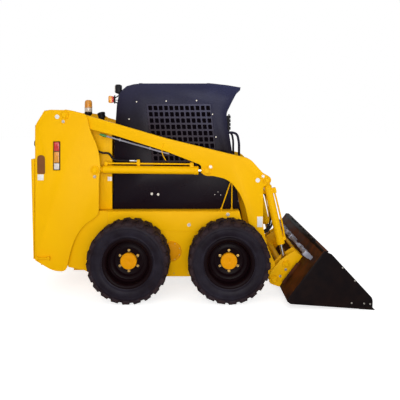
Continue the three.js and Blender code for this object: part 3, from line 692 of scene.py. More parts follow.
class LoaderPaint(bpy.types.PropertyGroup):
    body_colour: FloatVectorProperty(name="Body", description="Paint of the frame, arms and doors",
        subtype="COLOR", default=(0.88, 0.472, 0.001), min=0, max=1)
    cab_colour: FloatVectorProperty(name="Cab", description="Paint of the cab", subtype="COLOR",
        default=(0.008, 0.0078, 0.019), min=0, max=1)
    bucket_colour: FloatVectorProperty(name="Bucket", description="Paint of the bucket",
        subtype="COLOR", default=(0.004, 0.0028, 0.0038), min=0, max=1)
    # Amount of the orange painted shade low on the yellow paint.
    dust: FloatProperty(name="Dust", description="Dust on the lower part of the machine",
        subtype="FACTOR", default=0.3, min=0, max=1)


class LoaderTyres(bpy.types.PropertyGroup):
    lugs: IntProperty(name="Lugs a side", description="Lugs round each side of a tyre", default=22,
        min=8, max=40)
    lug_height: FloatProperty(name="Lug height", description="Height of a lug over the tyre's body",
        unit="LENGTH", default=0.0125, min=0.005, max=0.04)
    lug_width: FloatProperty(name="Lug width", description="Width of a lug along the tread",
        unit="LENGTH", default=0.08, min=0.02, max=0.1)


class LoaderGuard(bpy.types.PropertyGroup):
    columns: IntProperty(name="Columns", description="Columns of holes in a side screen",
        default=12, min=2, max=30)
    rows: IntProperty(name="Rows", description="Rows of holes in a side screen", default=10, min=2,
        max=30)
    hole_width: FloatProperty(name="Hole width", description="Width of one hole", unit="LENGTH",
        default=0.039, min=0.01, max=0.05)
    hole_height: FloatProperty(name="Hole height", description="Height of one hole", unit="LENGTH",
        default=0.046, min=0.01, max=0.06)


class LoaderStage(bpy.types.PropertyGroup):
    key_power: FloatProperty(name="Key light", description="Power of the large soft lamp",
        unit="POWER", default=146, min=0, max=5000)
    sky: FloatProperty(name="Sky", description="Strength of the even light from all round",
        default=0.42, min=0, max=3)


class PieceOperator:
    """What the operators of this file share."""
    bl_options = {"REGISTER", "UNDO"}


def each_side(*makers):
    """Makes the pieces of the right side and then those of the left."""
    for hand, side in SIDES.items():
        for make in makers:
            make(hand, side)


# ---------------------------------------------------------------- wheels
def tyre_section():
    """Outer section of a tyre's body, as radius and distance from its middle plane."""
    return mm(214, 98, 216, 108, 226, 116.5, 240, 118, 246, 119.5, 249, 122.5, 254, 122.5, 258,
        121.5, 270, 125.5, 284, 128.5, 298, 129.8, 312, 129.8, 322, 128.8, 326, 129.8, 331, 129.8,
        334, 128.5, 352, 124.5, 364, 117, 372, 105, 376.5, 84, 377.5, 40, 377.5, 0)


def lug(shape, settings):
    """One lug at the top of a tyre whose middle is the origin and whose axle lies along Y."""
    # From the middle plane outwards: distance across, drop below the tread, and skew.
    reach = [(-0.014, 0.0, 0.44), (0.022, 0.0, 0.32), (0.06, 0.0, 0.12), (0.1, 0.0, 0.0),
        (0.119, 0.005, -0.04), (0.1275, 0.018, -0.05), (0.1298, 0.036, -0.05)]
    made = bmesh.ops.create_cube(shape, size=1)
    lengthwise = [e for v in made["verts"] for e in v.link_edges
        if abs(e.verts[0].co.y - e.verts[1].co.y) > 0.5]
    bmesh.ops.subdivide_edges(shape, edges=list(set(lengthwise)), cuts=len(reach) - 2,
        use_grid_fill=True)
    rise, half, top = settings.lug_height, settings.lug_width / 2, TYRE_RADIUS
    for vert in shape.verts:
        station = round((vert.co.y + 0.5) * (len(reach) - 1))
        across, drop, skew = reach[station]
        outside = vert.co.z > 0
        radius = top - drop - (0 if outside else rise + 0.006)
        if not outside and station >= len(reach) - 2:
            across -= 0.012
        spread = half * (0.86 if outside else 1.0) * (0.6 + 0.1 * min(station, 4))
        angle = (math.copysign(spread, vert.co.x) + skew * 0.11) / top
        vert.co = (radius * math.sin(angle), across, radius * math.cos(angle))
    crest = [e for e in shape.edges if all(v.co.xz.length > top - 0.058 for v in e.verts)
        and e.calc_face_angle(0) > 0.8 and (abs(e.verts[0].co.y - e.verts[1].co.y) > 0.004)]
    round_off(shape, crest, 0.003, 1)


class LOADER_OT_tyres(PieceOperator, bpy.types.Operator):
    """Tyres with staggered lugs over a rounded body"""
    bl_idname = "loader.tyres"
    bl_label = "Tyres"

    def execute(self, context):
        settings = context.scene.loader_tyres
        pitch = 2 * math.pi / settings.lugs
        shape = bmesh.new()
        lug(shape, settings)
        bmesh.ops.spin(shape, geom=shape.verts[:] + shape.edges[:] + shape.faces[:], cent=(0, 0, 0),
            axis=(0, 1, 0), dvec=(0, 0, 0), angle=pitch * (settings.lugs - 1),
            steps=settings.lugs - 1, use_duplicate=True)
        made = bmesh.ops.duplicate(shape, geom=shape.verts[:] + shape.edges[:]
            + shape.faces[:])["geom"]
        other = [v for v in made if isinstance(v, bmesh.types.BMVert)]
        bmesh.ops.scale(shape, verts=other, vec=(1, -1, 1))
        bmesh.ops.rotate(shape, verts=other, cent=(0, 0, 0), matrix=Matrix.Rotation(pitch / 2, 3,
            "Y"))
        half = tyre_section()[::-1] + mm(213.5, 92, 222, 85, 262, 104, 330, 104, 350, 80)
        section = half + [(radius, -distance) for radius, distance in half[:0:-1]]
        lathe(shape, section, (0, 0, 0), (0, 1, 0), 84, closed=True)
        bmesh.ops.remove_doubles(shape, verts=shape.verts, dist=1e-06)
        bmesh.ops.recalc_face_normals(shape, faces=shape.faces)
        tread = shape.verts.layers.float.new("tread")
        foot, depth = 0.332, 0.03  # the tread's inner radius, and how far its dust fades in
        for vert in shape.verts:
            vert[tread] = min(1.0, max(0.0, (vert.co.xz.length - foot) / depth))
        pattern = bpy.data.meshes.new("tyre_pattern")
        shape.to_mesh(pattern)
        shape.free()
        start = {"front": 0.07, "rear": 0.19}  # turn of the first lug
        for hand in SIDES:
            for end in ENDS:
                centre = sum(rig.box(f"tyre_{end}_{hand}"), Vector()) / 2
                tyre = bmesh.new()
                tyre.from_mesh(pattern)
                bmesh.ops.rotate(tyre, verts=tyre.verts, cent=(0, 0, 0),
                    matrix=Matrix.Rotation(start[end], 3, "Y"))
                bmesh.ops.translate(tyre, verts=tyre.verts, vec=centre)
                place(f"lugged_tyre_{end}_{hand}", tyre, f"wheel_{end}_{hand}", "tyre_rubber",
                    [f"tyre_{end}_{hand}"], smooth=40, tidy=False)
        bpy.data.meshes.remove(pattern)
        return {"FINISHED"}


def make_rim(end, hand, side):
    """A rim dished to both sides, with its valve, hub cap, studs and nuts."""
    low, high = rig.box(f"rim_{end}_{hand}")
    centre = Vector(((low.x + high.x) / 2, side * TYRE_LOW, (low.z + high.z) / 2))
    body, out = f"wheel_{end}_{hand}", outward(side)
    rim = bmesh.new()
    outside = mm(58, 148, 118, 148, 124, 150.5, 134, 150.5, 140, 147, 160, 145, 176, 150, 184, 161,
        190, 166, 194, 170, 197, 185, 199, 215, 202, 236, 209, 247, 219, 252, 231, 254, 237, 252,
        238.5, 247, 236, 243, 213.5, 238)
    inside = mm(212.7, 30, 222, 20, 237, 16.5, 238.5, 11, 236, 8, 215, 9, 205, 18, 199, 30, 193,
        150, 176, 136, 118, 134, 74, 134, 64, 85, 2, 85, 2, 100, 50, 100, 58, 120)
    lathe(rim, outside + inside, centre, out, 72, closed=True)
    lathe(rim, mm(0, 84.5, 3, 84.5, 3, 101, 0, 101), centre, out, 16)
    valve = centre + Vector((0.15 * math.cos(2.2), 0.147 * side, 0.15 * math.sin(2.2)))
    bar(rim, valve, valve + out * 0.035 + Vector((0, 0, 0.004)), 0.004, 0.0035, 10)
    place(f"dished_rim_{end}_{hand}", rim, body, "rim_paint", [f"rim_{end}_{hand}"])
    simple(f"hub_cap_{end}_{hand}", body, "yellow_hub", lathe, mm(0, 149, 79, 149, 79, 170, 77, 175,
        72, 178, 66, 177.5, 62, 178.5, 20, 180, 14, 178.5, 11, 176.5, 0, 176.5), centre, out, 56)
    nuts = bmesh.new()
    circle, seat = 0.098, 0.148
    for turn in range(6):
        angle = math.radians(90 + 60 * turn)
        at = centre + Vector((circle * math.cos(angle), seat * side, circle * math.sin(angle)))
        bolt(nuts, at, out, 0.0095)
        bar(nuts, at + out * 0.006, at + out * 0.02, 0.005, 0.0045, 12)
    place(f"wheel_nuts_{end}_{hand}", nuts, body, "brass")


class LOADER_OT_rims(PieceOperator, bpy.types.Operator):
    """Dished rims with their hub caps, studs and nuts"""
    bl_idname = "loader.rims"
    bl_label = "Rims and hubs"

    def execute(self, context):
        for hand, side in SIDES.items():
            for end in ENDS:
                make_rim(end, hand, side)
        return {"FINISHED"}


# ---------------------------------------------------------------- frame, doors and arms
PAINTED = (
    ("root", "yellow_paint", "chassis", "tower_right", "tower_left"),
    ("rear_door", "yellow_paint", "rear_door"),
    ("engine_lid", "yellow_paint", "engine_lid"),
    ("arms", "yellow_paint", "arm_right", "arm_left"),
    ("bucket", "yellow_paint", "coupler"),
    ("root", "cab_paint", "cab_side_right", "cab_side_left", "cab_roof", "cab_back"),
    ("root", "black_steel", "seat_base"),
)


def repaint(node, finish):
    """Gives its finish to a CAD node that keeps its shape."""
    materials = frame["nodes"][node].data.materials
    materials.clear()
    materials.append(material(finish))


class LOADER_OT_plates(PieceOperator, bpy.types.Operator):
    """Frame, arms and cab plates with rounded, lightly worn edges"""
    bl_idname = "loader.plates"
    bl_label = "Frame and cab plates"

    def execute(self, context):
        for body, finish, *nodes in PAINTED:
            for node in nodes:
                place(f"{node}_plates", softened(node), body, finish, [node], smooth=30,
                    tidy=False)
        for hand in SIDES:
            for end in ENDS:
                repaint(f"axle_{end}_{hand}", "yellow_paint")
        repaint("engine_block", "engine_iron")
        repaint("rear_window", "window")
        return {"FINISHED"}


def tube_through(shape, half, at):
    """The round tube that joins the arms, with a welded flange at each end."""
    profile = [(0.0, -half), (0.088, -half), (0.088, -half + 0.01), (0.086, -half + 0.012),
        (0.07, -half + 0.012), (0.064, -half + 0.018), (0.062, -half + 0.022)]
    lathe(shape, profile + [(r, -d) for r, d in reversed(profile)], at, (0, 1, 0), 48)


def barrel_shape(shape, foot, eye, outer, length, cross):
    """A cylinder's barrel with its weld rings, gland and gland nut; returns its direction."""
    foot, eye = Vector(foot), Vector(eye)
    along = (eye - foot).normalized()
    start = outer + 0.014
    lathe(shape, [(0, start), (outer - 0.014, start), (outer - 0.003, start + 0.008),
        (outer, start + 0.014), (outer + 0.002, start + 0.016), (outer + 0.002, start + 0.022),
        (outer, start + 0.024), (outer, length - 0.044), (outer + 0.0045, length - 0.041),
        (outer + 0.0045, length - 0.024), (outer + 0.003, length - 0.022),
        (outer + 0.003, length - 0.02), (outer + 0.0045, length - 0.018),
        (outer + 0.0045, length - 0.004), (outer + 0.001, length), (cross + 0.0006, length),
        (cross + 0.0006, length - 0.03), (0, length - 0.03)], foot, along, 48)
    return along


def eye_end(shape, at, radius, hole, half, centre_y):
    """A round eye with its bore, across the machine."""
    lathe(shape, [(hole, -half), (radius - 0.002, -half), (radius, -half + 0.002),
        (radius, half - 0.002), (radius - 0.002, half), (hole, half)], (at[0], centre_y, at[2]),
        (0, 1, 0), 40, closed=True)


def lift_cylinder(hand, side):
    """The barrel of a lift cylinder with its ports and hose, and its rod with an eye."""
    y = side * ARM_MID
    foot = PIVOT["lift_barrels_swing"].copy()
    foot.y = y
    rod_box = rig.box(f"lift_rod_{hand}")
    eye = Vector((rod_box[1].x - LIFT_EYE, y, rod_box[1].z - LIFT_EYE))
    outer = 0.04
    length = (eye - foot).length - 0.084
    shape = bmesh.new()
    along = barrel_shape(shape, foot, eye, outer, length, 0.0225)
    eye_end(shape, foot, 0.044, 0.0287, 0.028, y)
    bar(shape, foot + along * 0.04, foot + along * 0.062, 0.036, 0.03, 28)
    up, out = Vector((-along.z, 0, along.x)), outward(side)
    above = up * 0.062
    ports = [foot + along * station for station in (0.096, 0.418, 0.952)]
    for at in ports:
        block(shape, at + above, (0.017, 0.015, 0.018), 0.003)
        bar(shape, at + up * 0.03, at + above, 0.012, 0.012, 16)
    wide, narrow = Vector((0.02, 0.02, 0.004)), Vector((0.014, 0.016, 0))
    brick(shape, ports[2] + up * 0.03 - wide, ports[2] + above + wide, 0.003)
    bar(shape, ports[0] + above, ports[2] + above, 0.0085, steps=16)
    brick(shape, ports[1] + up * 0.045 - narrow, ports[1] + up * 0.102 + narrow, 0.003)
    bolt(shape, ports[1] + up * 0.088 + out * 0.016, out, 0.006, False)
    place(f"lift_cylinder_{hand}", shape, "lift_barrels", "yellow_paint", [f"lift_barrel_{hand}"])
    fitting = bmesh.new()
    joint = ports[1] + up * 0.09
    bar(fitting, joint - along * 0.014, joint - along * 0.04, 0.0125, steps=6)
    bar(fitting, joint - along * 0.04, joint - along * 0.088, 0.0115, 0.0105, 20)
    place(f"lift_hose_end_{hand}", fitting, "lift_barrels", "rod_chrome")
    end = joint - along * 0.086
    into = foot + Vector((0.06, 0, 0.165))
    simple(f"lift_hose_{hand}", "lift_barrels", "hose_rubber", pipe, [end,
        end - along * 0.05 + up * 0.001, end - along * 0.16 + up * 0.012,
        into + along * 0.06 + up * -0.006, into, into - along * 0.1 + up * 0.04], 0.0105)
    inner = (Vector((rod_box[0].x, y, foot.z)) - foot).length
    reach = (eye - foot).length - 0.05
    simple(f"lift_rod_bar_{hand}", "lift_rods", "rod_chrome", lathe, [(0, inner), (0.0225, inner),
        (0.0225, reach), (0.0, reach)], foot, along, 40, replaces=[f"lift_rod_{hand}"])
    eyes = bmesh.new()
    eye_end(eyes, eye, LIFT_EYE, 0.03, 0.025, y)
    lathe(eyes, mm(0, -58, 26, -58, 27, -50, 27, -36, 0, -36), eye, along, 32)
    place(f"lift_rod_eye_{hand}", eyes, "lift_rods", "yellow_paint")


def tilt_cylinder(hand, side):
    """The barrel of a tilt cylinder with its pipes, and its rod with an eye."""
    y = side * ARM_MID
    foot = PIVOT["tilt_barrels_swing"].copy()
    foot.y = y
    rod_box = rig.box(f"tilt_rod_{hand}")
    eye = Vector((rod_box[1].x - TILT_EYE, y, rod_box[0].z + TILT_EYE))
    outer = 0.038
    reach = (eye - foot).length
    length = reach - 0.184
    shape = bmesh.new()
    along = barrel_shape(shape, foot, eye, outer, length, 0.021)
    eye_end(shape, foot, 0.038, 0.0227, 0.028, y)
    bar(shape, foot + along * 0.034, foot + along * 0.058, 0.032, 0.028, 28)
    ahead, out = Vector((-along.z, 0, along.x)), outward(side)
    turn = Matrix.Rotation(-0.22, 4, "Y")
    head = foot + along * 0.115 + ahead * 0.04
    brick(shape, head - Vector((0.024, 0.026, 0.03)), head + Vector((0.034, 0.026, 0.022)), 0.004,
        turn)
    bolt(shape, head + out * 0.026, out, 0.008, False)
    low = foot + along * (length - 0.05) + ahead * 0.044
    block(shape, low, (0.016, 0.018, 0.018), 0.003, turn)
    place(f"tilt_cylinder_{hand}", shape, "tilt_barrels", "yellow_paint", [f"tilt_barrel_{hand}"])
    steel = bmesh.new()
    for shift in (-0.011, 0.012):
        top = head + Vector((0.012, shift, 0))
        bottom = low + Vector((0.004, shift, 0))
        pipe(steel, [top, top + along * 0.05 + ahead * 0.004, bottom - along * 0.05 + ahead * 0.006,
            bottom], 0.0078)
    place(f"tilt_pipes_{hand}", steel, "tilt_barrels", "yellow_paint")
    inner = 0.165
    simple(f"tilt_rod_bar_{hand}", "tilt_rods", "rod_chrome", lathe, [(0, inner), (0.021, inner),
        (0.021, reach - 0.036), (0, reach - 0.036)], foot, along, 40,
        replaces=[f"tilt_rod_{hand}"])
    eyes = bmesh.new()
    eye_end(eyes, eye, TILT_EYE, 0.016, 0.025, y)
    lathe(eyes, mm(0, -50, 22.5, -50, 23.5, -44, 23.5, -24, 0, -24), eye, along, 32)
    place(f"tilt_rod_eye_{hand}", eyes, "tilt_rods", "black_steel")


class LOADER_OT_cylinders(PieceOperator, bpy.types.Operator):
    """Lift and tilt cylinders with their rods, pipes and hoses"""
    bl_idname = "loader.cylinders"
    bl_label = "Cylinders"

    def execute(self, context):
        each_side(lift_cylinder, tilt_cylinder)
        return {"FINISHED"}


# ---------------------------------------------------------------- cab
def make_screen(hand, side, guard):
    """A guard whose front edge slopes forward towards its foot, with a near-black pane behind it as painted shade of
    the cab inside.
    """
    low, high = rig.box(f"side_screen_{hand}")
    lean, pitch_x, pitch_z = 0.11, 0.0535, 0.064
    first_x, first_z = 0.03, 0.04  # from the front and top edges to the first holes' middles
    top_x = high.x - lean * (high.z - low.z)
    xs, zs = [low.x], [high.z]
    for column in range(guard.columns):
        middle = top_x - first_x - pitch_x * (guard.columns - 1 - column)
        xs += [middle - guard.hole_width / 2, middle + guard.hole_width / 2]
    for row in range(guard.rows):
        middle = high.z - first_z - pitch_z * row
        zs += [middle + guard.hole_height / 2, middle - guard.hole_height / 2]
    xs.append(top_x)
    zs.append(low.z)
    shape = bmesh.new()
    bmesh.ops.create_grid(shape, x_segments=len(xs) - 1, y_segments=len(zs) - 1, size=0.5)
    spots = {}
    for vert in shape.verts:
        column = round((vert.co.x + 0.5) * (len(xs) - 1))
        row = round((0.5 - vert.co.y) * (len(zs) - 1))
        spots[vert] = (column, row)
        vert.co = (xs[column] + lean * (high.z - zs[row]), side * (CAB_FACE - 0.003), zs[row])
    holes = [face for face in shape.faces if min(spots[v][0] for v in face.verts) % 2 == 1
        and min(spots[v][1] for v in face.verts) % 2 == 1]
    bmesh.ops.delete(shape, geom=holes, context="FACES")
    bmesh.ops.recalc_face_normals(shape, faces=shape.faces)
    bmesh.ops.solidify(shape, geom=shape.faces[:], thickness=0.004)
    corners = [e for e in shape.edges if e.is_manifold and e.calc_face_angle(0) > 0.9
        and (abs(e.verts[0].co.y - e.verts[1].co.y) > 0.003)]
    round_off(shape, corners, 0.006, 2)
    place(f"perforated_screen_{hand}", shape, "root", "screen_paint", [f"side_screen_{hand}"],
        smooth=40)
    inner, gap = CAB_FACE - 0.011, 0.002
    faces = sorted((side * inner, side * (inner - 0.004)))
    simple(f"side_pane_{hand}", "root", "smoked_pane", slab, [(low.x + gap, low.z + gap),
        (top_x + lean * (high.z - low.z) - gap, low.z + gap), (top_x - gap, high.z - gap),
        (low.x + gap, high.z - gap)], *faces)


class LOADER_OT_screens(PieceOperator, bpy.types.Operator):
    """Perforated steel guards in the cab's side windows"""
    bl_idname = "loader.screens"
    bl_label = "Side screens"

    def execute(self, context):
        guard = context.scene.loader_guard
        for hand, side in SIDES.items():
            make_screen(hand, side, guard)
        return {"FINISHED"}


def cab_rivets(hand, side):
    """Rivets and bolts on the side of the cab."""
    out = outward(side)
    face = side * CAB_FACE * 1000
    heads = bmesh.new()
    for at in (rear(32, 1921, face), rear(335, 1929, face), rear(643, 1934, face),
            rear(-44, 1745, face), front(-147, 1793, face), front(-112, 1563, face)):
        lathe(heads, mm(0, -1, 8.5, -1, 8.5, 1.5, 6, 4, 0, 5), at, out, 20)
    for at in (rear(188, 985, face), rear(253, 978, face)):
        bolt(heads, at, out, 0.0095)
    for x, z in ((-124, 976), (-92, 1006), (-64, 974)):
        bolt(heads, front(x, z, face), out, 0.0042, False)
    place(f"cab_rivets_{hand}", heads, "root", "zinc")


def cab_rails(hand, side):
    """Grab rail, stay and hinge beside the door opening."""
    low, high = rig.box(f"grab_handle_{hand}")
    y = (low.y + high.y) * 500
    rail = bmesh.new()
    points = [(8, 1606), (62, 1606), (98, 1588), (116, 1540), (124, 1379), (132, 1262), (126, 1216),
        (104, 1202), (68, 1202)]
    pipe(rail, [front(x, z, y) for x, z in points], 0.0125, 5)
    for x, z in ((18, 1606), (74, 1202)):
        lathe(rail, mm(0, 0, 21, 0, 21, 4, 12, 6, 0, 6), front(x - 2, z, y), (1, 0, 0), 24)
    place(f"grab_rail_{hand}", rail, "root", "cab_paint", [f"grab_handle_{hand}"])
    stay = bmesh.new()
    y = side * (CAB_FACE * 1000 + 9)
    base = LEDGE * 1000
    for points in ([(-60, base), (38, 1112), (46, 1126)], [(47, base), (50, 1112), (46, 1126)]):
        pipe(stay, [front(x, z, y) for x, z in points], 0.006, 4, smooth=False)
    for x in (-60, 47):
        lathe(stay, mm(0, 0, 16, 0, 16, 4, 8, 6, 8, 16, 0, 16), front(x, base, y), (0, 0, 1), 20)
    lathe(stay, mm(0, 0, 15, 0, 15, 12, 13, 14, 0, 14), front(46, 1126,
        side * (CAB_FACE * 1000 + 0.5)), outward(side), 28)
    place(f"cab_stay_{hand}", stay, "root", "yellow_paint", [f"stay_{hand}"])
    hinge = bmesh.new()
    face = side * CAB_FACE * 1000
    for z in (1652, 1690, 1728, 1766):
        bar(hinge, front(20, z - 15, face * 0.985), front(20, z + 15, face * 0.985), 0.017,
            steps=18)
        bolt(hinge, front(20, z, face), outward(side), 0.008, False)
    bar(hinge, front(20, 1624, face * 0.985), front(20, 1796, face * 0.985), 0.007, steps=14)
    brick(hinge, front(-8, 1640, face * 0.96), front(20, 1780, face * 0.995), 0.003)
    place(f"front_hinge_{hand}", hinge, "root", "black_steel")


def cab_lamps(hand, side):
    """Work lamp high on the back of the cab, and on the right a marker lamp."""
    y = side * 362
    lamp_body = bmesh.new()
    low, high = rear(-190, 2008, y - 46), rear(-130, 2100, y + 46)
    brick(lamp_body, low, high, 0.014)
    pipe(lamp_body, [rear(-160, 2012, y), rear(-150, 1990, y), rear(-120, 1990, y)], 0.008, 4,
        smooth=False)
    place(f"work_lamp_{hand}", lamp_body, "root", "moulded_black")
    simple(f"work_lamp_lens_{hand}", "root", "clear_lens", brick, rear(-195, 2018, y - 38),
        rear(-186, 2090, y + 38), 0.004, slot="rod_chrome")
    if side > 0:
        return
    bracket = bmesh.new()
    brick(bracket, rear(-216, 1938, y - 16), rear(-160, 1944, y + 16), 0.001)
    bar(bracket, rear(-200, 1905, y), rear(-200, 1990, y), 0.007, steps=12)
    bar(bracket, rear(-200, 1960, y), rear(-158, 1990, y), 0.006, steps=12)
    bar(bracket, rear(-200, 1925, y), rear(-164, 1905, y), 0.006, steps=12)
    place("marker_bracket", bracket, "root", "black_steel")
    simple("marker_lamp_amber", "root", "amber_lens", brick, rear(-262, 1912, y - 30),
        rear(-222, 1984, y + 30), 0.01)
    simple("marker_lamp_red", "root", "red_lens", brick, rear(-226, 1916, y - 28),
        rear(-208, 1980, y + 28), 0.006)


def roof_eyes():
    """Lifting eyes on the roof."""
    eyes = bmesh.new()
    for side in SIDES.values():
        for x in (rear_x(60), front_x(-186)):
            at = Vector((x, side * 0.3, CAB_TOP))
            brick(eyes, at - Vector((0.02, 0.006, 0.012)), at + Vector((0.02, 0.006, 0.014)), 0.003)
    place("roof_eyes", eyes, "root", "cab_paint")


class LOADER_OT_cab_fittings(PieceOperator, bpy.types.Operator):
    """Rivets, hand rails, stays, work lamp and marker lamp of the cab"""
    bl_idname = "loader.cab_fittings"
    bl_label = "Cab fittings"

    def execute(self, context):
        each_side(cab_rivets, cab_rails, cab_lamps)
        roof_eyes()
        return {"FINISHED"}


# ---------------------------------------------------------------- fittings of the frame and arms
def tower_collars(hand, side):
    """Pin collars with their keeper bolts, and the bolts of the case."""
    out = outward(side)
    collars, bolts = bmesh.new(), bmesh.new()
    for joint, turn in (("arms_lift", -1.75), ("lift_barrels_swing", -1.62)):
        at = PIVOT[joint].copy()
        at.y = side * TOWER_FACE
        boss(collars, at, out, 0.042, 0.016, 0.027)
        tip, ear = at + spoke(turn) * 0.066, at + spoke(turn) * 0.044
        brick(collars, Vector((tip.x - 0.017, side * (TOWER_FACE - 0.001), tip.z - 0.02)),
            Vector((tip.x + 0.017, side * (TOWER_FACE + 0.008), ear.z + 0.024)), 0.003)
        bolt(bolts, tip + out * 0.008, out, 0.0115)
    place(f"tower_collars_{hand}", collars, "root", "yellow_paint")
    face = CASE_FACE * 1000 * side
    for at in (rear(569, 693, face), front(2, 796, face), front(2, 742, face)):
        bolt(bolts, at + out * 0.004, out, 0.013)
    place(f"frame_bolts_{hand}", bolts, "root", "zinc")


def case_panels(hand, side):
    """Raised panel, round cover, screws and tie-down of the case."""
    face = CASE_FACE
    out = outward(side)
    trim = bmesh.new()
    corners = [(rear_x(-236), 0.826), (front_x(112), 0.826), (front_x(158), 0.642),
        (front_x(158), 0.632), (rear_x(-236), 0.632)]
    slab(trim, corners, side * (face - 0.002), side * (face + 0.0045), 0.0015)
    low = LEDGE - 0.002
    brick(trim, (rear_x(-262), side * (face - 0.03), low), (front_x(108),
        side * (face + 0.01), LEDGE + 0.004), 0.003)
    place(f"case_panel_{hand}", trim, "root", "yellow_paint")
    at = Vector((rear_x(398), side * face, 0.43))
    simple(f"case_cover_{hand}", "root", "yellow_hub", lathe, mm(0, -2, 98, -2, 98, 6, 95, 9, 72, 9,
        68, 12, 62, 13, 0, 13), at, out, 56)
    screws = bmesh.new()
    for turn in range(8):
        angle = math.radians(22.5 + 45 * turn)
        bolt(screws, at + spoke(angle) * 0.083 + out * 0.009, out, 0.006, False)
    for x in (120, 250, 420, 560, 700):
        bolt(screws, rear(x, 212, face * 1000 * side), out, 0.006, False)
    place(f"case_screws_{hand}", screws, "root", "brass")
    lug = bmesh.new()
    outer = TOWER_FACE * 1000
    for x in (-936, -822):
        brick(lug, rear(x, 352, side * (outer - 1)), rear(x + 18, 392, side * (outer + 26)), 0.004)
    bar(lug, rear(-944, 372, side * (outer + 14)), rear(-796, 372, side * (outer + 14)), 0.009)
    place(f"tie_down_{hand}", lug, "root", "yellow_paint")


def side_lamp(hand, side):
    """A lamp of three cells in the side of a tower, and the hand pocket below it."""
    x0, x1, z0, z1 = rear_x(-770), rear_x(-704), 1.238, 1.52
    deep = side * (TOWER_FACE - 0.008)
    proud = side * (TOWER_FACE + 0.006)
    simple(f"side_lamp_base_{hand}", "root", "moulded_black", brick, (x0, deep, z0),
        (x1, side * (TOWER_FACE + 0.001), z1), 0.003)
    cells = ((1.426, 1.514, "red_lens"), (1.312, 1.42, "amber_lens"), (1.244, 1.306, "clear_lens"))
    for number, (low, high, finish) in enumerate(cells):
        cell = bmesh.new()
        brick(cell, (x0 + 0.007, deep, low), (x1 - 0.007, proud, high), 0.004)
        for rib in range(1, 4):
            x = x0 + 0.007 + (x1 - x0 - 0.014) * rib / 4
            bar(cell, (x, proud, low + 0.006), (x, proud, high - 0.006), 0.0022, steps=8)
        place(f"side_lamp_cell_{number + 1}_{hand}", cell, "root", finish)
    back = side * (TOWER_FACE - 0.0155)
    simple(f"hand_pocket_{hand}", "root", "pocket_brown", brick, (rear_x(-934) - 0.001, back, 1.19),
        (rear_x(-850) + 0.001, back + side * 0.004, 1.392), 0)


def blank_labels(hand, side):
    """Labels with nothing on them."""
    out = outward(side)
    labels = bmesh.new()
    face = side * (TOWER_FACE + 0.0002)
    lathe(labels, mm(0, 0, 22, 0, 22, 0.8, 0, 0.8), (rear_x(-732), face, 1.765), out, 40)
    brick(labels, (rear_x(-925), face, 1.138), (rear_x(-865), face + side * LABEL, 1.196),
        0.0003)
    inner = side * 0.4365
    brick(labels, (rear_x(-258), inner, 1.118), (rear_x(-214), inner + side * LABEL, 1.16),
        0.0003)
    place(f"frame_labels_{hand}", labels, "root", "blank_label")
    arm_labels = bmesh.new()
    arm_face = side * (ARM_FACE + 0.0002)
    lathe(arm_labels, mm(0, 0, 22, 0, 22, 0.8, 0, 0.8), (front_x(298), arm_face, 1.136), out, 40)
    brick(arm_labels, (front_x(292), arm_face, 0.672), (front_x(346),
        arm_face + side * LABEL, 0.776), 0.0003)
    place(f"arm_labels_{hand}", arm_labels, "arms", "blank_label")


class LOADER_OT_frame_fittings(PieceOperator, bpy.types.Operator):
    """Pin collars, bolts, covers, side lamps, hand pockets and blank labels of the frame"""
    bl_idname = "loader.frame_fittings"
    bl_label = "Frame fittings"

    def execute(self, context):
        each_side(tower_collars, case_panels, side_lamp, blank_labels)
        return {"FINISHED"}


def arm_collars(hand, side):
    """Collars of the cylinder pins, with their keepers and bolts."""
    out = outward(side)
    collars, bolts = bmesh.new(), bmesh.new()
    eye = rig.box(f"lift_rod_{hand}")[1] - Vector((LIFT_EYE, 0, LIFT_EYE))
    for centre, turn, radius, pin in ((eye, 0.85, 0.04, 0.026), (PIVOT["tilt_barrels_swing"], 2.35,
            0.036, 0.022)):
        at = Vector((centre.x, side * ARM_FACE, centre.z))
        boss(collars, at, out, radius, 0.015, pin)
        away = spoke(turn)
        tip = at + away * 0.055
        slab(collars, [(at.x + away.x * r - away.z * w, at.z + away.z * r + away.x * w) for r,
            w in ((0.02, -0.016), (0.071, -0.012), (0.071, 0.012), (0.02, 0.016))],
            side * (ARM_FACE - 0.001), side * (ARM_FACE + 0.008), 0.0015)
        bolt(bolts, tip + out * 0.008, out, 0.0115)
    place(f"arm_collars_{hand}", collars, "arms", "yellow_paint")
    place(f"arm_bolts_{hand}", bolts, "arms", "zinc")


def arm_welds(hand, side, tube):
    """Weld beads at the bend of an arm and round its end of the tube."""
    beads = bmesh.new()
    face = side * (ARM_FACE + 0.0005)
    arc = []
    for step in range(9):
        lift = 1.512 - 0.0215 * step
        bulge = 0.03 * math.sin(math.pi * step / 8)
        arc.append((rear_x(322) - bulge - 0.1 * (lift - 1.512), face, lift - 0.006))
    pipe(beads, arc, 0.0038, 2)
    inner = side * (ARM_LOW - 0.002)
    ring = [(tube.x + 0.09 * math.cos(math.radians(a)), inner,
        tube.z + 0.09 * math.sin(math.radians(a))) for a in range(0, 361, 24)]
    pipe(beads, ring, 0.005, 2)
    place(f"arm_welds_{hand}", beads, "arms", "yellow_paint")


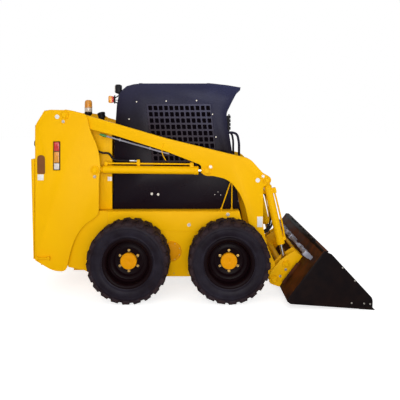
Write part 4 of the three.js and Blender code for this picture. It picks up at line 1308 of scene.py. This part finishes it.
def arm_pipes(hand, side):
    """A steel pipe along the top of an arm, with its clamps and joint."""
    y = side * (ARM_MID * 1000 + 18)
    line = bmesh.new()
    points = [rear(-300, 1585, y), rear(-240, 1568, y), rear(60, 1482, y), rear(340, 1404, y),
        rear(372, 1398, y)]
    pipe(line, points, 0.0085, 3)
    for x, z in ((-120, 1533), (180, 1449)):
        brick(line, rear(x - 9, z - 10, y - 12), rear(x + 9, z + 14, y + 12), 0.003)
    place(f"arm_pipe_{hand}", line, "arms", "worn_steel", slot="rod_chrome")
    joint = bmesh.new()
    start, end = rear(-300, 1585, y), rear(-256, 1572.5, y)
    bar(joint, start, end, 0.014, steps=6)
    bar(joint, start + (start - end) * 0.5, start, 0.011, steps=16)
    place(f"arm_pipe_joint_{hand}", joint, "arms", "green_fitting")


class LOADER_OT_arm_fittings(PieceOperator, bpy.types.Operator):
    """Cross tube, pin collars, weld beads and pipes of the arms"""
    bl_idname = "loader.arm_fittings"
    bl_label = "Arm fittings"

    def execute(self, context):
        low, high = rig.box("arm_cross_tube")
        middle = (low + high) / 2
        simple("cross_tube", "arms", "yellow_paint", tube_through, high.y, middle,
            replaces=["arm_cross_tube"])
        for hand, side in SIDES.items():
            arm_collars(hand, side)
            arm_welds(hand, side, middle)
            arm_pipes(hand, side)
        return {"FINISHED"}


# ---------------------------------------------------------------- bucket and coupler
def outline(points):
    """The side outline of some points."""
    return [(point.x, point.z) for point in points]


def on_back(distance, away, y=0.0):
    """A point on the bucket's back plane, from its foot upwards and outwards."""
    slope = math.atan2(431, 330)
    point = front(523, 106)
    return point + Vector((distance * math.cos(slope) - away * math.sin(slope), y,
        distance * math.sin(slope) + away * math.cos(slope)))


def bucket_lip():
    """A stiffening bar along the top edge, with raised wear blocks."""
    top = on_back(0.543, 0.0)
    shape = bmesh.new()
    lean = Matrix.Rotation(math.radians(37), 4, "Y")
    for half, x0, x1, z0, z1 in ((BUCKET_HALF - 0.016, -0.012, 0.004, -0.024, 0.004),
            (0.56, -0.018, 0.014, -0.028, 0.012)):
        brick(shape, (top.x + x0, -half, top.z + z0), (top.x + x1, half, top.z + z1), 0.003, lean)
    for y in (-0.49, -0.33, -0.08, 0.08, 0.33, 0.49):
        at = top + Vector((0.004, y, 0.008))
        block(shape, at, (0.016, 0.04, 0.01), 0.004, lean)
    place("bucket_lip", shape, "bucket", "bucket_steel")


def bucket_strips():
    """Wear strips inside the ends, their bolts outside, and ribs on the back."""
    strips, bolts = bmesh.new(), bmesh.new()
    for side in SIDES.values():
        face = side * BUCKET_HALF
        out = outward(side)
        inner = face - side * 0.014
        for corners in (((1296, 104), (1262, 92), (905, 478), (923, 507)),
                ((1290, 30), (1290, 62), (1150, 66), (1150, 36))):
            slab(strips, outline(front(*corner) for corner in corners), inner, inner - side * 0.008,
                0.002)
        for x, z in ((1018, 386), (1130, 268), (1100, 66), (1213, 62), (1268, 58)):
            bolt(bolts, front(x, z, face * 1000 * 0.9999), out, 0.0085, False)
    place("bucket_strips", strips, "bucket", "bucket_steel")
    place("bucket_bolts", bolts, "bucket", "zinc")
    ribs = bmesh.new()
    for y in (-0.62, -0.21, 0.21, 0.62):
        slab(ribs, outline((on_back(0.02, 0.0), on_back(0.04, 0.03), on_back(0.27, 0.03),
            on_back(0.3, 0.0))), y - 0.005, y + 0.005, 0.001)
    place("bucket_ribs", ribs, "bucket", "bucket_back")


def lifting_bars():
    """Lifting bars above the coupler, on end blocks, open where the tilt cylinders come down."""
    shape = bmesh.new()
    spans = ((0.09, ARM_MID - 0.066), (ARM_MID + 0.066, 0.79))

    def across(near, far, low, high, start, end, edge):
        slab(shape, outline((on_back(near, low), on_back(near, high), on_back(far, high),
            on_back(far, low))), start, end, edge)

    for side in SIDES.values():
        for near, far in spans:
            low, high = sorted((side * near, side * far))
            across(0.398, 0.42, 0.062, 0.084, low, high, 0.004)
            for y in (low + 0.012, high - 0.012):
                across(0.39, 0.43, 0.0005, 0.064, y - 0.012, y + 0.012, 0.002)
        for y in (side * 0.11, side * 0.77):
            across(0.384, 0.436, 0.03, 0.094, y - 0.022, y + 0.022, 0.005)
    place("bucket_hook_bar", shape, "bucket", "worn_steel")


class LOADER_OT_bucket(PieceOperator, bpy.types.Operator):
    """Bucket with its cutting edge, wear strips and lifting bars"""
    bl_idname = "loader.bucket"
    bl_label = "Bucket"

    def execute(self, context):
        piece = place("bucket_shell", softened("bucket"), "bucket", ("bucket_steel", "bucket_back"),
            ["bucket"], smooth=30, tidy=False)
        for face in piece.data.polygons:
            if abs(face.center.y) < BUCKET_HALF - 0.016:
                face.material_index = 1
        place("bucket_edge", softened("cutting_edge", 0.002), "bucket", "bucket_steel",
            ["cutting_edge"], smooth=30, tidy=False)
        bucket_lip()
        bucket_strips()
        lifting_bars()
        return {"FINISHED"}


def coupler_collars(hand, side):
    """Collars and keeper bolts of the bucket and tilt pins."""
    out = outward(side)
    ear = ARM_FACE + 0.019
    collars, bolts = bmesh.new(), bmesh.new()
    pivot = PIVOT["bucket_tilt"]
    at = Vector((pivot.x, side * ear, pivot.z))
    boss(collars, at, out, 0.04, 0.012, 0.027)
    bolt(bolts, at + Vector((0.062, 0, 0.03)), out, 0.01)
    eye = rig.box(f"tilt_rod_{hand}")
    eye = Vector((eye[1].x - TILT_EYE, side * ear, eye[0].z + TILT_EYE))
    boss(collars, eye, out, 0.036, 0.012, 0.022)
    bolt(bolts, eye + Vector((-0.004, 0, -0.058)), out, 0.01)
    place(f"coupler_collars_{hand}", collars, "bucket", "yellow_paint")
    place(f"coupler_bolts_{hand}", bolts, "bucket", "zinc")


def coupler_hoses(hand, side):
    """Two hoses down the inside of an arm, in their clamps."""
    y = side * (ARM_LOW - 0.035) * 1000
    hoses = bmesh.new()
    for shift, bulge in ((0, 0), (26, 14)):
        points = [front(352 + shift, 1010, y), front(400 + bulge + shift, 960, y),
            front(436 + bulge + shift, 820, y), front(440 + shift, 700, y),
            front(400 + shift, 620, y), front(352, 600 - shift, y)]
        pipe(hoses, points, 0.0105, 3)
    place(f"arm_hoses_{hand}", hoses, "arms", "hose_rubber")
    clamp = bmesh.new()
    brick(clamp, front(330, 986, y - 20), front(392, 1024, y + 20), 0.004)
    brick(clamp, front(330, 560, y - 22), front(372, 620, y + 22), 0.004)
    place(f"hose_clamps_{hand}", clamp, "arms", "yellow_paint")


class LOADER_OT_coupler_fittings(PieceOperator, bpy.types.Operator):
    """Pin collars, bolts, hoses and hose clamps at the coupler"""
    bl_idname = "loader.coupler_fittings"
    bl_label = "Coupler fittings"

    def execute(self, context):
        each_side(coupler_collars, coupler_hoses)
        return {"FINISHED"}


# ---------------------------------------------------------------- doors, lamps and caps
def beacon():
    """Amber beacon on its post, with a ribbed lens."""
    low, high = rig.box("beacon")
    at = Vector(((low.x + high.x) / 2, 0, low.z))
    up = (0, 0, 1)
    simple("beacon_base", "engine_lid", "moulded_black", lathe, mm(0, 0, 47, 0, 47, 8, 24, 12, 24,
        100, 30, 106, 41, 118, 42, 140, 38, 142, 0, 142), at, up, 48)
    simple("beacon_collar", "engine_lid", "clear_lens", lathe, mm(0, 142.5, 40.5, 142.5, 41.5, 150,
        41.5, 184, 38.5, 188, 0, 188), at, up, 48)
    lens = bmesh.new()
    lathe(lens, mm(0, 188.5, 42.5, 188.5, 42.5, 196, 40, 199, 38.5, 250, 35, 264, 26, 272, 12,
        275.5, 0, 276), at, up, 48)
    for turn in range(16):
        angle = 2 * math.pi * turn / 16
        foot = at + Vector((0.0392 * math.cos(angle), 0.0392 * math.sin(angle), 0.2))
        bar(lens, foot, foot + Vector((-0.0012 * math.cos(angle), -0.0012 * math.sin(angle),
            0.048)), 0.0022, steps=8)
    place("beacon_lens", lens, "engine_lid", "amber_lens", ["beacon"])


def intake_cap():
    """Air intake with its tilted hood."""
    low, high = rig.box("intake_cap")
    at = Vector(((low.x + high.x) / 2, 0, low.z))
    cap = bmesh.new()
    lathe(cap, mm(0, 0, 40, 0, 40, 6, 26, 10, 26, 74, 0, 74), at, (0, 0, 1), 40)
    tip = at + Vector((0, 0, 0.07))
    lathe(cap, mm(0, 0, 34, 0, 40, 8, 40, 40, 43, 44, 43, 60, 37, 68, 18, 72, 0, 73), tip,
        (-0.22, 0, 1), 40)
    place("intake_hood", cap, "engine_lid", "moulded_black", ["intake_cap"])


def lid_fittings():
    """Louvres and latch of the engine lid."""
    low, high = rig.box("engine_lid")
    ribs = bmesh.new()
    for number in range(7):
        y = -0.24 + number * 0.08
        x0, x1 = low.x + 0.16, low.x + 0.4
        brick(ribs, (x0, y - 0.022, high.z - 0.004), (x1, y + 0.022, high.z + 0.007), 0.005)
    place("lid_louvres", ribs, "engine_lid", "yellow_paint")
    simple("lid_latch", "engine_lid", "moulded_black", brick, (low.x - 0.006, -0.045,
        low.z + 0.018), (low.x + 0.006, 0.045, low.z + 0.062), 0.004)


def door_fittings():
    """Louvres and latch of the rear door."""
    low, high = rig.box("rear_door")

    def at_height(z):
        return low.x + DOOR_LEAN * (high.z - z) / (high.z - low.z)

    slope = math.atan2(DOOR_LEAN, high.z - low.z)
    louvres = bmesh.new()
    for number in range(11):
        z = low.z + 0.3 + number * 0.052
        x = at_height(z)
        brick(louvres, (x - 0.01, -0.3, z), (x + 0.008, 0.3, z + 0.03), 0.004,
            Matrix.Rotation(0.35 - slope, 4, "Y"))
    place("door_louvres", louvres, "rear_door", "yellow_paint")
    z = 0.77
    x = at_height(z)
    latch = bmesh.new()
    y = -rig.box("rear_door")[0].y - 0.054
    brick(latch, (x + 0.004, -y - 0.017, z - 0.064), (x + 0.012, -y + 0.017, z + 0.064), 0.003)
    bar(latch, (x - 0.004, -y, z - 0.045), (x - 0.004, -y, z + 0.045), 0.006, steps=14)
    for dz in (-0.045, 0.045):
        bar(latch, (x - 0.004, -y, z + dz), (x + 0.008, -y, z + dz), 0.005, steps=12)
    place("door_latch", latch, "rear_door", "moulded_black")


def tail_lamps():
    """Round red lamps at the back of the towers."""
    for hand, side in SIDES.items():
        at = Vector((rear_x(-951), side * 0.498, 1.5))
        simple(f"tail_lamp_rim_{hand}", "root", "moulded_black", lathe, mm(0, -2, 44, -2, 44, 10,
            40, 14, 36, 14, 36, 8, 0, 8), at, (-1, 0, 0), 40)
        simple(f"tail_lamp_{hand}", "root", "red_lens", lathe, mm(0, 8.5, 35.5, 8.5, 34.5, 17, 26,
            21, 0, 23), at, (-1, 0, 0), 40)


class LOADER_OT_rear_fittings(PieceOperator, bpy.types.Operator):
    """Beacon, intake cap, louvres, latches and tail lamps"""
    bl_idname = "loader.rear_fittings"
    bl_label = "Rear fittings"

    def execute(self, context):
        beacon()
        intake_cap()
        lid_fittings()
        door_fittings()
        tail_lamps()
        return {"FINISHED"}


# ---------------------------------------------------------------- operator's place
def seat_pad(node, corner, swell):
    """A stuffed pad that starts inside its CAD solid and swells under pressure."""
    shape = bmesh.new()
    shape.from_mesh(frame["nodes"][node].data)
    bmesh.ops.remove_doubles(shape, verts=shape.verts, dist=1e-05)
    bmesh.ops.dissolve_limit(shape, angle_limit=0.3, verts=shape.verts, edges=shape.edges)
    low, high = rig.box(node)
    middle = (low + high) / 2
    for vert in shape.verts:
        for axis in range(3):
            half = (high[axis] - low[axis]) / 2
            vert.co[axis] = middle[axis] + (vert.co[axis] - middle[axis]) * (1 - swell / half)
    long_edges = [e for e in shape.edges if abs(e.calc_face_angle(0)) > 0.5]
    round_off(shape, long_edges, corner, 4, clamp=True)
    bmesh.ops.triangulate(shape, faces=shape.faces)
    mesh = bpy.data.meshes.new(f"{node}_pad")
    shape.to_mesh(mesh)
    shape.free()
    pad = bpy.data.objects.new(f"{node}_pad", mesh)
    bpy.context.scene.collection.objects.link(pad)
    remesh = pad.modifiers.new("even_mesh", "REMESH")
    remesh.mode = "VOXEL"
    remesh.voxel_size = 0.012 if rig.quick() else 0.006
    apply_modifiers(pad)
    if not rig.quick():
        inflate(pad, swell)
    sew_channels(pad, node)
    smooth = pad.modifiers.new("smooth", "SMOOTH")
    smooth.iterations = 3
    apply_modifiers(pad)
    pad.data.shade_smooth()
    pad.data.materials.clear()
    pad.data.materials.append(material("seat_vinyl"))
    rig.ride(pad, "root")
    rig.replaces(pad, node)
    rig.slot(pad, "seat_vinyl")
    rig.padded(pad, fill=0.75)


def apply_modifiers(pad):
    """Applies every modifier of the pad."""
    graph = bpy.context.evaluated_depsgraph_get()
    graph.update()
    made = bpy.data.meshes.new_from_object(pad.evaluated_get(graph))
    pad.modifiers.clear()
    old, pad.data = pad.data, made
    bpy.data.meshes.remove(old)


def inflate(pad, swell):
    """Swells a pad as cloth under pressure, by no more than a set distance."""
    before = [v.co.copy() for v in pad.data.vertices]
    cloth = pad.modifiers.new("swell", "CLOTH")
    cloth.settings.use_pressure = True
    cloth.settings.uniform_pressure_force = 4.0
    cloth.settings.effector_weights.gravity = 0.0
    cloth.settings.quality = 4
    cloth.collision_settings.use_collision = False
    scene = bpy.context.scene
    cloth.point_cache.frame_start, cloth.point_cache.frame_end = 1, 20
    for number in range(1, 21):
        scene.frame_set(number)
    graph = bpy.context.evaluated_depsgraph_get()
    made = bpy.data.meshes.new_from_object(pad.evaluated_get(graph))
    pad.modifiers.clear()
    for vert, old in zip(made.vertices, before):
        moved = vert.co - old
        if moved.length > swell:
            vert.co = old + moved.normalized() * swell
    previous, pad.data = pad.data, made
    bpy.data.meshes.remove(previous)
    scene.frame_set(1)


def sew_channels(pad, node):
    """Sewn channels across the pad, pressed in after the swelling."""
    low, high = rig.box(node)
    flat = node == "seat_cushion"
    length = high.x - low.x if flat else high.z - low.z
    rows, deep, wide, half = 4, 0.007, 0.008, 0.15
    for vert in pad.data.vertices:
        run = (vert.co.x - low.x if flat else vert.co.z - low.z) / length
        near = min(abs(run - (row + 1) / (rows + 1)) for row in range(rows)) * length
        side = min(abs(abs(vert.co.y) - half), 1.0)
        depth = deep * math.exp(-(near / wide) ** 2) * (abs(vert.co.y) < half + 0.005)
        depth = max(depth, deep * math.exp(-(side / wide) ** 2))
        if flat:
            if vert.co.z > low.z + 0.6 * (high.z - low.z):
                vert.co.z -= depth
        elif vert.co.x > (low.x + high.x) / 2 - 0.03:
            vert.co.x -= depth


class LOADER_OT_seat(PieceOperator, bpy.types.Operator):
    """Padded seat cushion and back, and the belt's anchors"""
    bl_idname = "loader.seat"
    bl_label = "Seat"

    def execute(self, context):
        seat_pad("seat_cushion", 0.04, 0.012)
        seat_pad("seat_back", 0.036, 0.012)
        belt = bmesh.new()
        low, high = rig.box("seat_cushion")
        for side in SIDES.values():
            at = Vector((low.x + 0.09, side * 0.25, low.z + 0.02))
            brick(belt, at - Vector((0.026, 0.007, 0.02)), at + Vector((0.026, 0.007, 0.1)), 0.003)
        place("belt_anchors", belt, "root", "moulded_black")
        return {"FINISHED"}


def lap_bar_tube():
    """Bent lap bar with its pivot eyes and foam pads."""
    shape = bmesh.new()
    pivot = PIVOT["lap_bar_lift"]
    half = CAB_FACE - 0.064
    low = Vector((pivot.x + 0.47, 0, pivot.z - 0.18))
    path = [(pivot.x + 0.012, half, pivot.z - 0.004), (pivot.x + 0.2, half, pivot.z - 0.06),
        (low.x - 0.06, half, low.z + 0.02), (low.x - 0.008, half - 0.03, low.z),
        (low.x, half - 0.09, low.z), (low.x, 0, low.z)]
    path += [(x, -y, z) for x, y, z in path[-2::-1]]
    pipe(shape, path, 0.0155, 5)
    for side in SIDES.values():
        eye_end(shape, pivot, 0.026, 0.0132, 0.008, side * half)
    place("lap_bar_tube", shape, "lap_bar", "black_steel", ["lap_bar"])
    foam = bmesh.new()
    for side in SIDES.values():
        lathe(foam, mm(16, 70, 24, 72, 26, 80, 26, 260, 24, 268, 16, 270), low, (0, side, 0), 28,
            closed=True)
    place("lap_bar_pads", foam, "lap_bar", "hose_rubber", slot="seat_vinyl")


def control_lever(hand, side):
    """A lever with its grip and bellows."""
    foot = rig.box(f"control_lever_{hand}")[0].z
    x, y = front_x(-130), side * 0.21
    simple(f"lever_stick_{hand}", "root", "rod_chrome", pipe, [(x, y, foot + 0.03), (x + 0.008, y,
        foot + 0.26), (x - 0.008, y, foot + 0.48), (x - 0.038, y, foot + 0.64)], 0.0105, 4)
    rubber = bmesh.new()
    lathe(rubber, mm(0, 0, 52, 0, 52, 8, 46, 11, 50, 18, 40, 22, 43, 30, 32, 34, 34, 43, 22, 48, 16,
        62, 0, 62), (x, y, foot), (0, 0, 1), 32)
    lathe(rubber, mm(0, -64, 15, -64, 19, -58, 18.5, -40, 21, -34, 19.5, -18, 21, -6, 19.5, 8, 21,
        22, 21, 36, 17, 52, 8, 59, 0, 60), (x - 0.038, y, foot + 0.64), (-0.006, 0, 0.03), 28)
    place(f"lever_rubber_{hand}", rubber, "root", "hose_rubber", [f"control_lever_{hand}"],
        slot="black_steel")


def gauge_panel(hand, side):
    """A panel with two gauges, high beside the door opening."""
    inner = side * (CAB_FACE - 0.0305)
    outer = side * (CAB_FACE - 0.115)
    simple(f"gauge_panel_{hand}", "root", "moulded_black", brick, (front_x(-130),
        min(inner, outer), 1.86), (front_x(-62), max(inner, outer), 2.03), 0.008)
    dials = bmesh.new()
    for z in (1.905, 1.985):
        at = Vector((front_x(-131), (inner + outer) / 2, z))
        lathe(dials, mm(0, 0, 26, 0, 26, 4, 22, 6, 22, 2, 0, 2), at, (-1, 0, 0), 32)
    place(f"gauge_rims_{hand}", dials, "root", "zinc")


def floor_mat():
    """Ribbed rubber mat."""
    shape = bmesh.new()
    floor_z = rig.box("control_lever_right")[0].z
    x0, x1 = front_x(-452), front_x(150)
    brick(shape, (x0, -0.15, floor_z), (x1, 0.15, floor_z + 0.004), 0.0015)
    for number in range(14):
        x = x0 + 0.03 + number * 0.042
        brick(shape, (x, -0.14, floor_z + 0.003), (x + 0.018, 0.14, floor_z + 0.008), 0.0015)
    place("floor_mat", shape, "root", "hose_rubber")


class LOADER_OT_controls(PieceOperator, bpy.types.Operator):
    """Lap bar, control levers with bellows, gauge panels and floor mat"""
    bl_idname = "loader.controls"
    bl_label = "Controls"

    def execute(self, context):
        lap_bar_tube()
        each_side(control_lever, gauge_panel)
        floor_mat()
        return {"FINISHED"}


# ---------------------------------------------------------------- stage
def lamp(name, at, aim, power, size):
    light = bpy.data.lights.new(name, "AREA")
    light.energy = power
    light.shape = "SQUARE"
    light.size = size
    holder = bpy.data.objects.new(name, light)
    holder.location = at
    holder.rotation_euler = (Vector(aim) - Vector(at)).to_track_quat("-Z", "Y").to_euler()
    bpy.context.scene.collection.objects.link(holder)


def seen_directly(tree):
    """One where the camera looks, straight on or through glass, and nought elsewhere."""
    ray = put(tree, "ShaderNodeLightPath").outputs
    return calc(tree, "MAXIMUM", ray["Is Camera Ray"], ray["Is Transmission Ray"])


def pale_floor(scene):
    """A wide pale floor that looks white."""
    shape = bmesh.new()
    bmesh.ops.create_grid(shape, x_segments=2, y_segments=2, size=60.0)
    mesh = bpy.data.meshes.new("floor")
    shape.to_mesh(mesh)
    shape.free()
    floor = bpy.data.objects.new("floor", mesh)
    scene.collection.objects.link(floor)
    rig.stage(floor)
    made, tree, shader = started("floor_white")
    join(tree, shader, {
        "Base Color": rgb(0.7, 0.7, 0.7), "Roughness": 0.9, "Specular IOR Level": 0.1,
        "Emission Color": rgb(1.0, 1.0, 1.0),
        "Emission Strength": times(tree, seen_directly(tree), 0.72)})
    mesh.materials.append(made)


def even_sky(scene):
    """A sky that lights evenly and looks white."""
    world = bpy.data.worlds.new("sky")
    world.use_nodes = True
    tree = world.node_tree
    tree.nodes.clear()
    even, white = (
        put(tree, "ShaderNodeBackground", {"Color": rgb(1.0, 1.0, 1.0), "Strength": strength})
        for strength in (scene.loader_stage.sky, 1.0))
    chosen = put(tree, "ShaderNodeMixShader", {
        0: seen_directly(tree), 1: even.outputs[0], 2: white.outputs[0]})
    put(tree, "ShaderNodeOutputWorld", {"Surface": chosen.outputs[0]})
    scene.world = world


class LOADER_OT_stage(PieceOperator, bpy.types.Operator):
    """Camera, pale floor, soft lamps and an even sky"""
    bl_idname = "loader.stage"
    bl_label = "Stage"

    def execute(self, context):
        scene = context.scene
        view = bpy.data.cameras.new("view")
        view.lens = 40.7
        view.sensor_width = 36.0
        view.shift_y = -0.18
        view.clip_end = 200.0
        camera = bpy.data.objects.new("view", view)
        camera.location = (0.04, -5.02, 1.654)
        camera.rotation_euler = (math.radians(90), 0, 0)
        scene.collection.objects.link(camera)
        scene.camera = camera
        pale_floor(scene)
        power = scene.loader_stage.key_power
        lamp("key_light", (-1.8, -6.8, 4.0), (0, 0, 0.8), power, 5.0)
        lamp("fill_light", (5.5, -4.0, 3.6), (0.3, 0, 0.8), power * 0.45, 4.0)
        lamp("low_light", (0.4, -6.6, 1.3), (0, 0, 0.5), power, 3.0)
        lamp("top_light", (0.0, 1.5, 7.0), (0, 0, 0.8), power * 0.4, 5.0)
        even_sky(scene)
        scene.view_settings.view_transform = "Standard"
        return {"FINISHED"}


# ---------------------------------------------------------------- add-on
SETTINGS = {"loader_paint": LoaderPaint, "loader_tyres": LoaderTyres, "loader_guard": LoaderGuard,
    "loader_stage": LoaderStage}
PIECES = tuple(kind for name, kind in list(globals().items()) if name.startswith("LOADER_OT_"))


class LOADER_PT_sidebar(bpy.types.Panel):
    """Lists the loader's settings and pieces"""
    bl_idname = "LOADER_PT_sidebar"
    bl_label = "Skid steer loader"
    bl_space_type = "VIEW_3D"
    bl_region_type = "UI"
    bl_category = "Loader"

    def draw(self, context):
        for group in SETTINGS:
            box = self.layout.box()
            held = getattr(context.scene, group)
            for name in held.__annotations__:
                box.prop(held, name)
        for kind in PIECES:
            self.layout.operator(kind.bl_idname)


def register():
    for kind in (*SETTINGS.values(), *PIECES, LOADER_PT_sidebar):
        bpy.utils.register_class(kind)
    for name, kind in SETTINGS.items():
        setattr(bpy.types.Scene, name, PointerProperty(type=kind))


def unregister():
    for name in SETTINGS:
        delattr(bpy.types.Scene, name)
    for kind in (LOADER_PT_sidebar, *reversed(PIECES), *reversed(SETTINGS.values())):
        bpy.utils.unregister_class(kind)


def main():
    for item in list(bpy.data.objects):
        if item.type in {"LIGHT", "CAMERA"} or item.name == "Cube":
            bpy.data.objects.remove(item)
    register()
    for kind in PIECES:
        group, name = kind.bl_idname.split(".")
        getattr(getattr(bpy.ops, group), name)()
    low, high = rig.bounds()
    with open("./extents.json", "w", encoding="utf-8") as file:
        json.dump({"cad": [list(corner) for corner in CAD_BOX],
                   "visual": [list(low), list(high)]}, file)


if __name__ == "__main__":
    main()
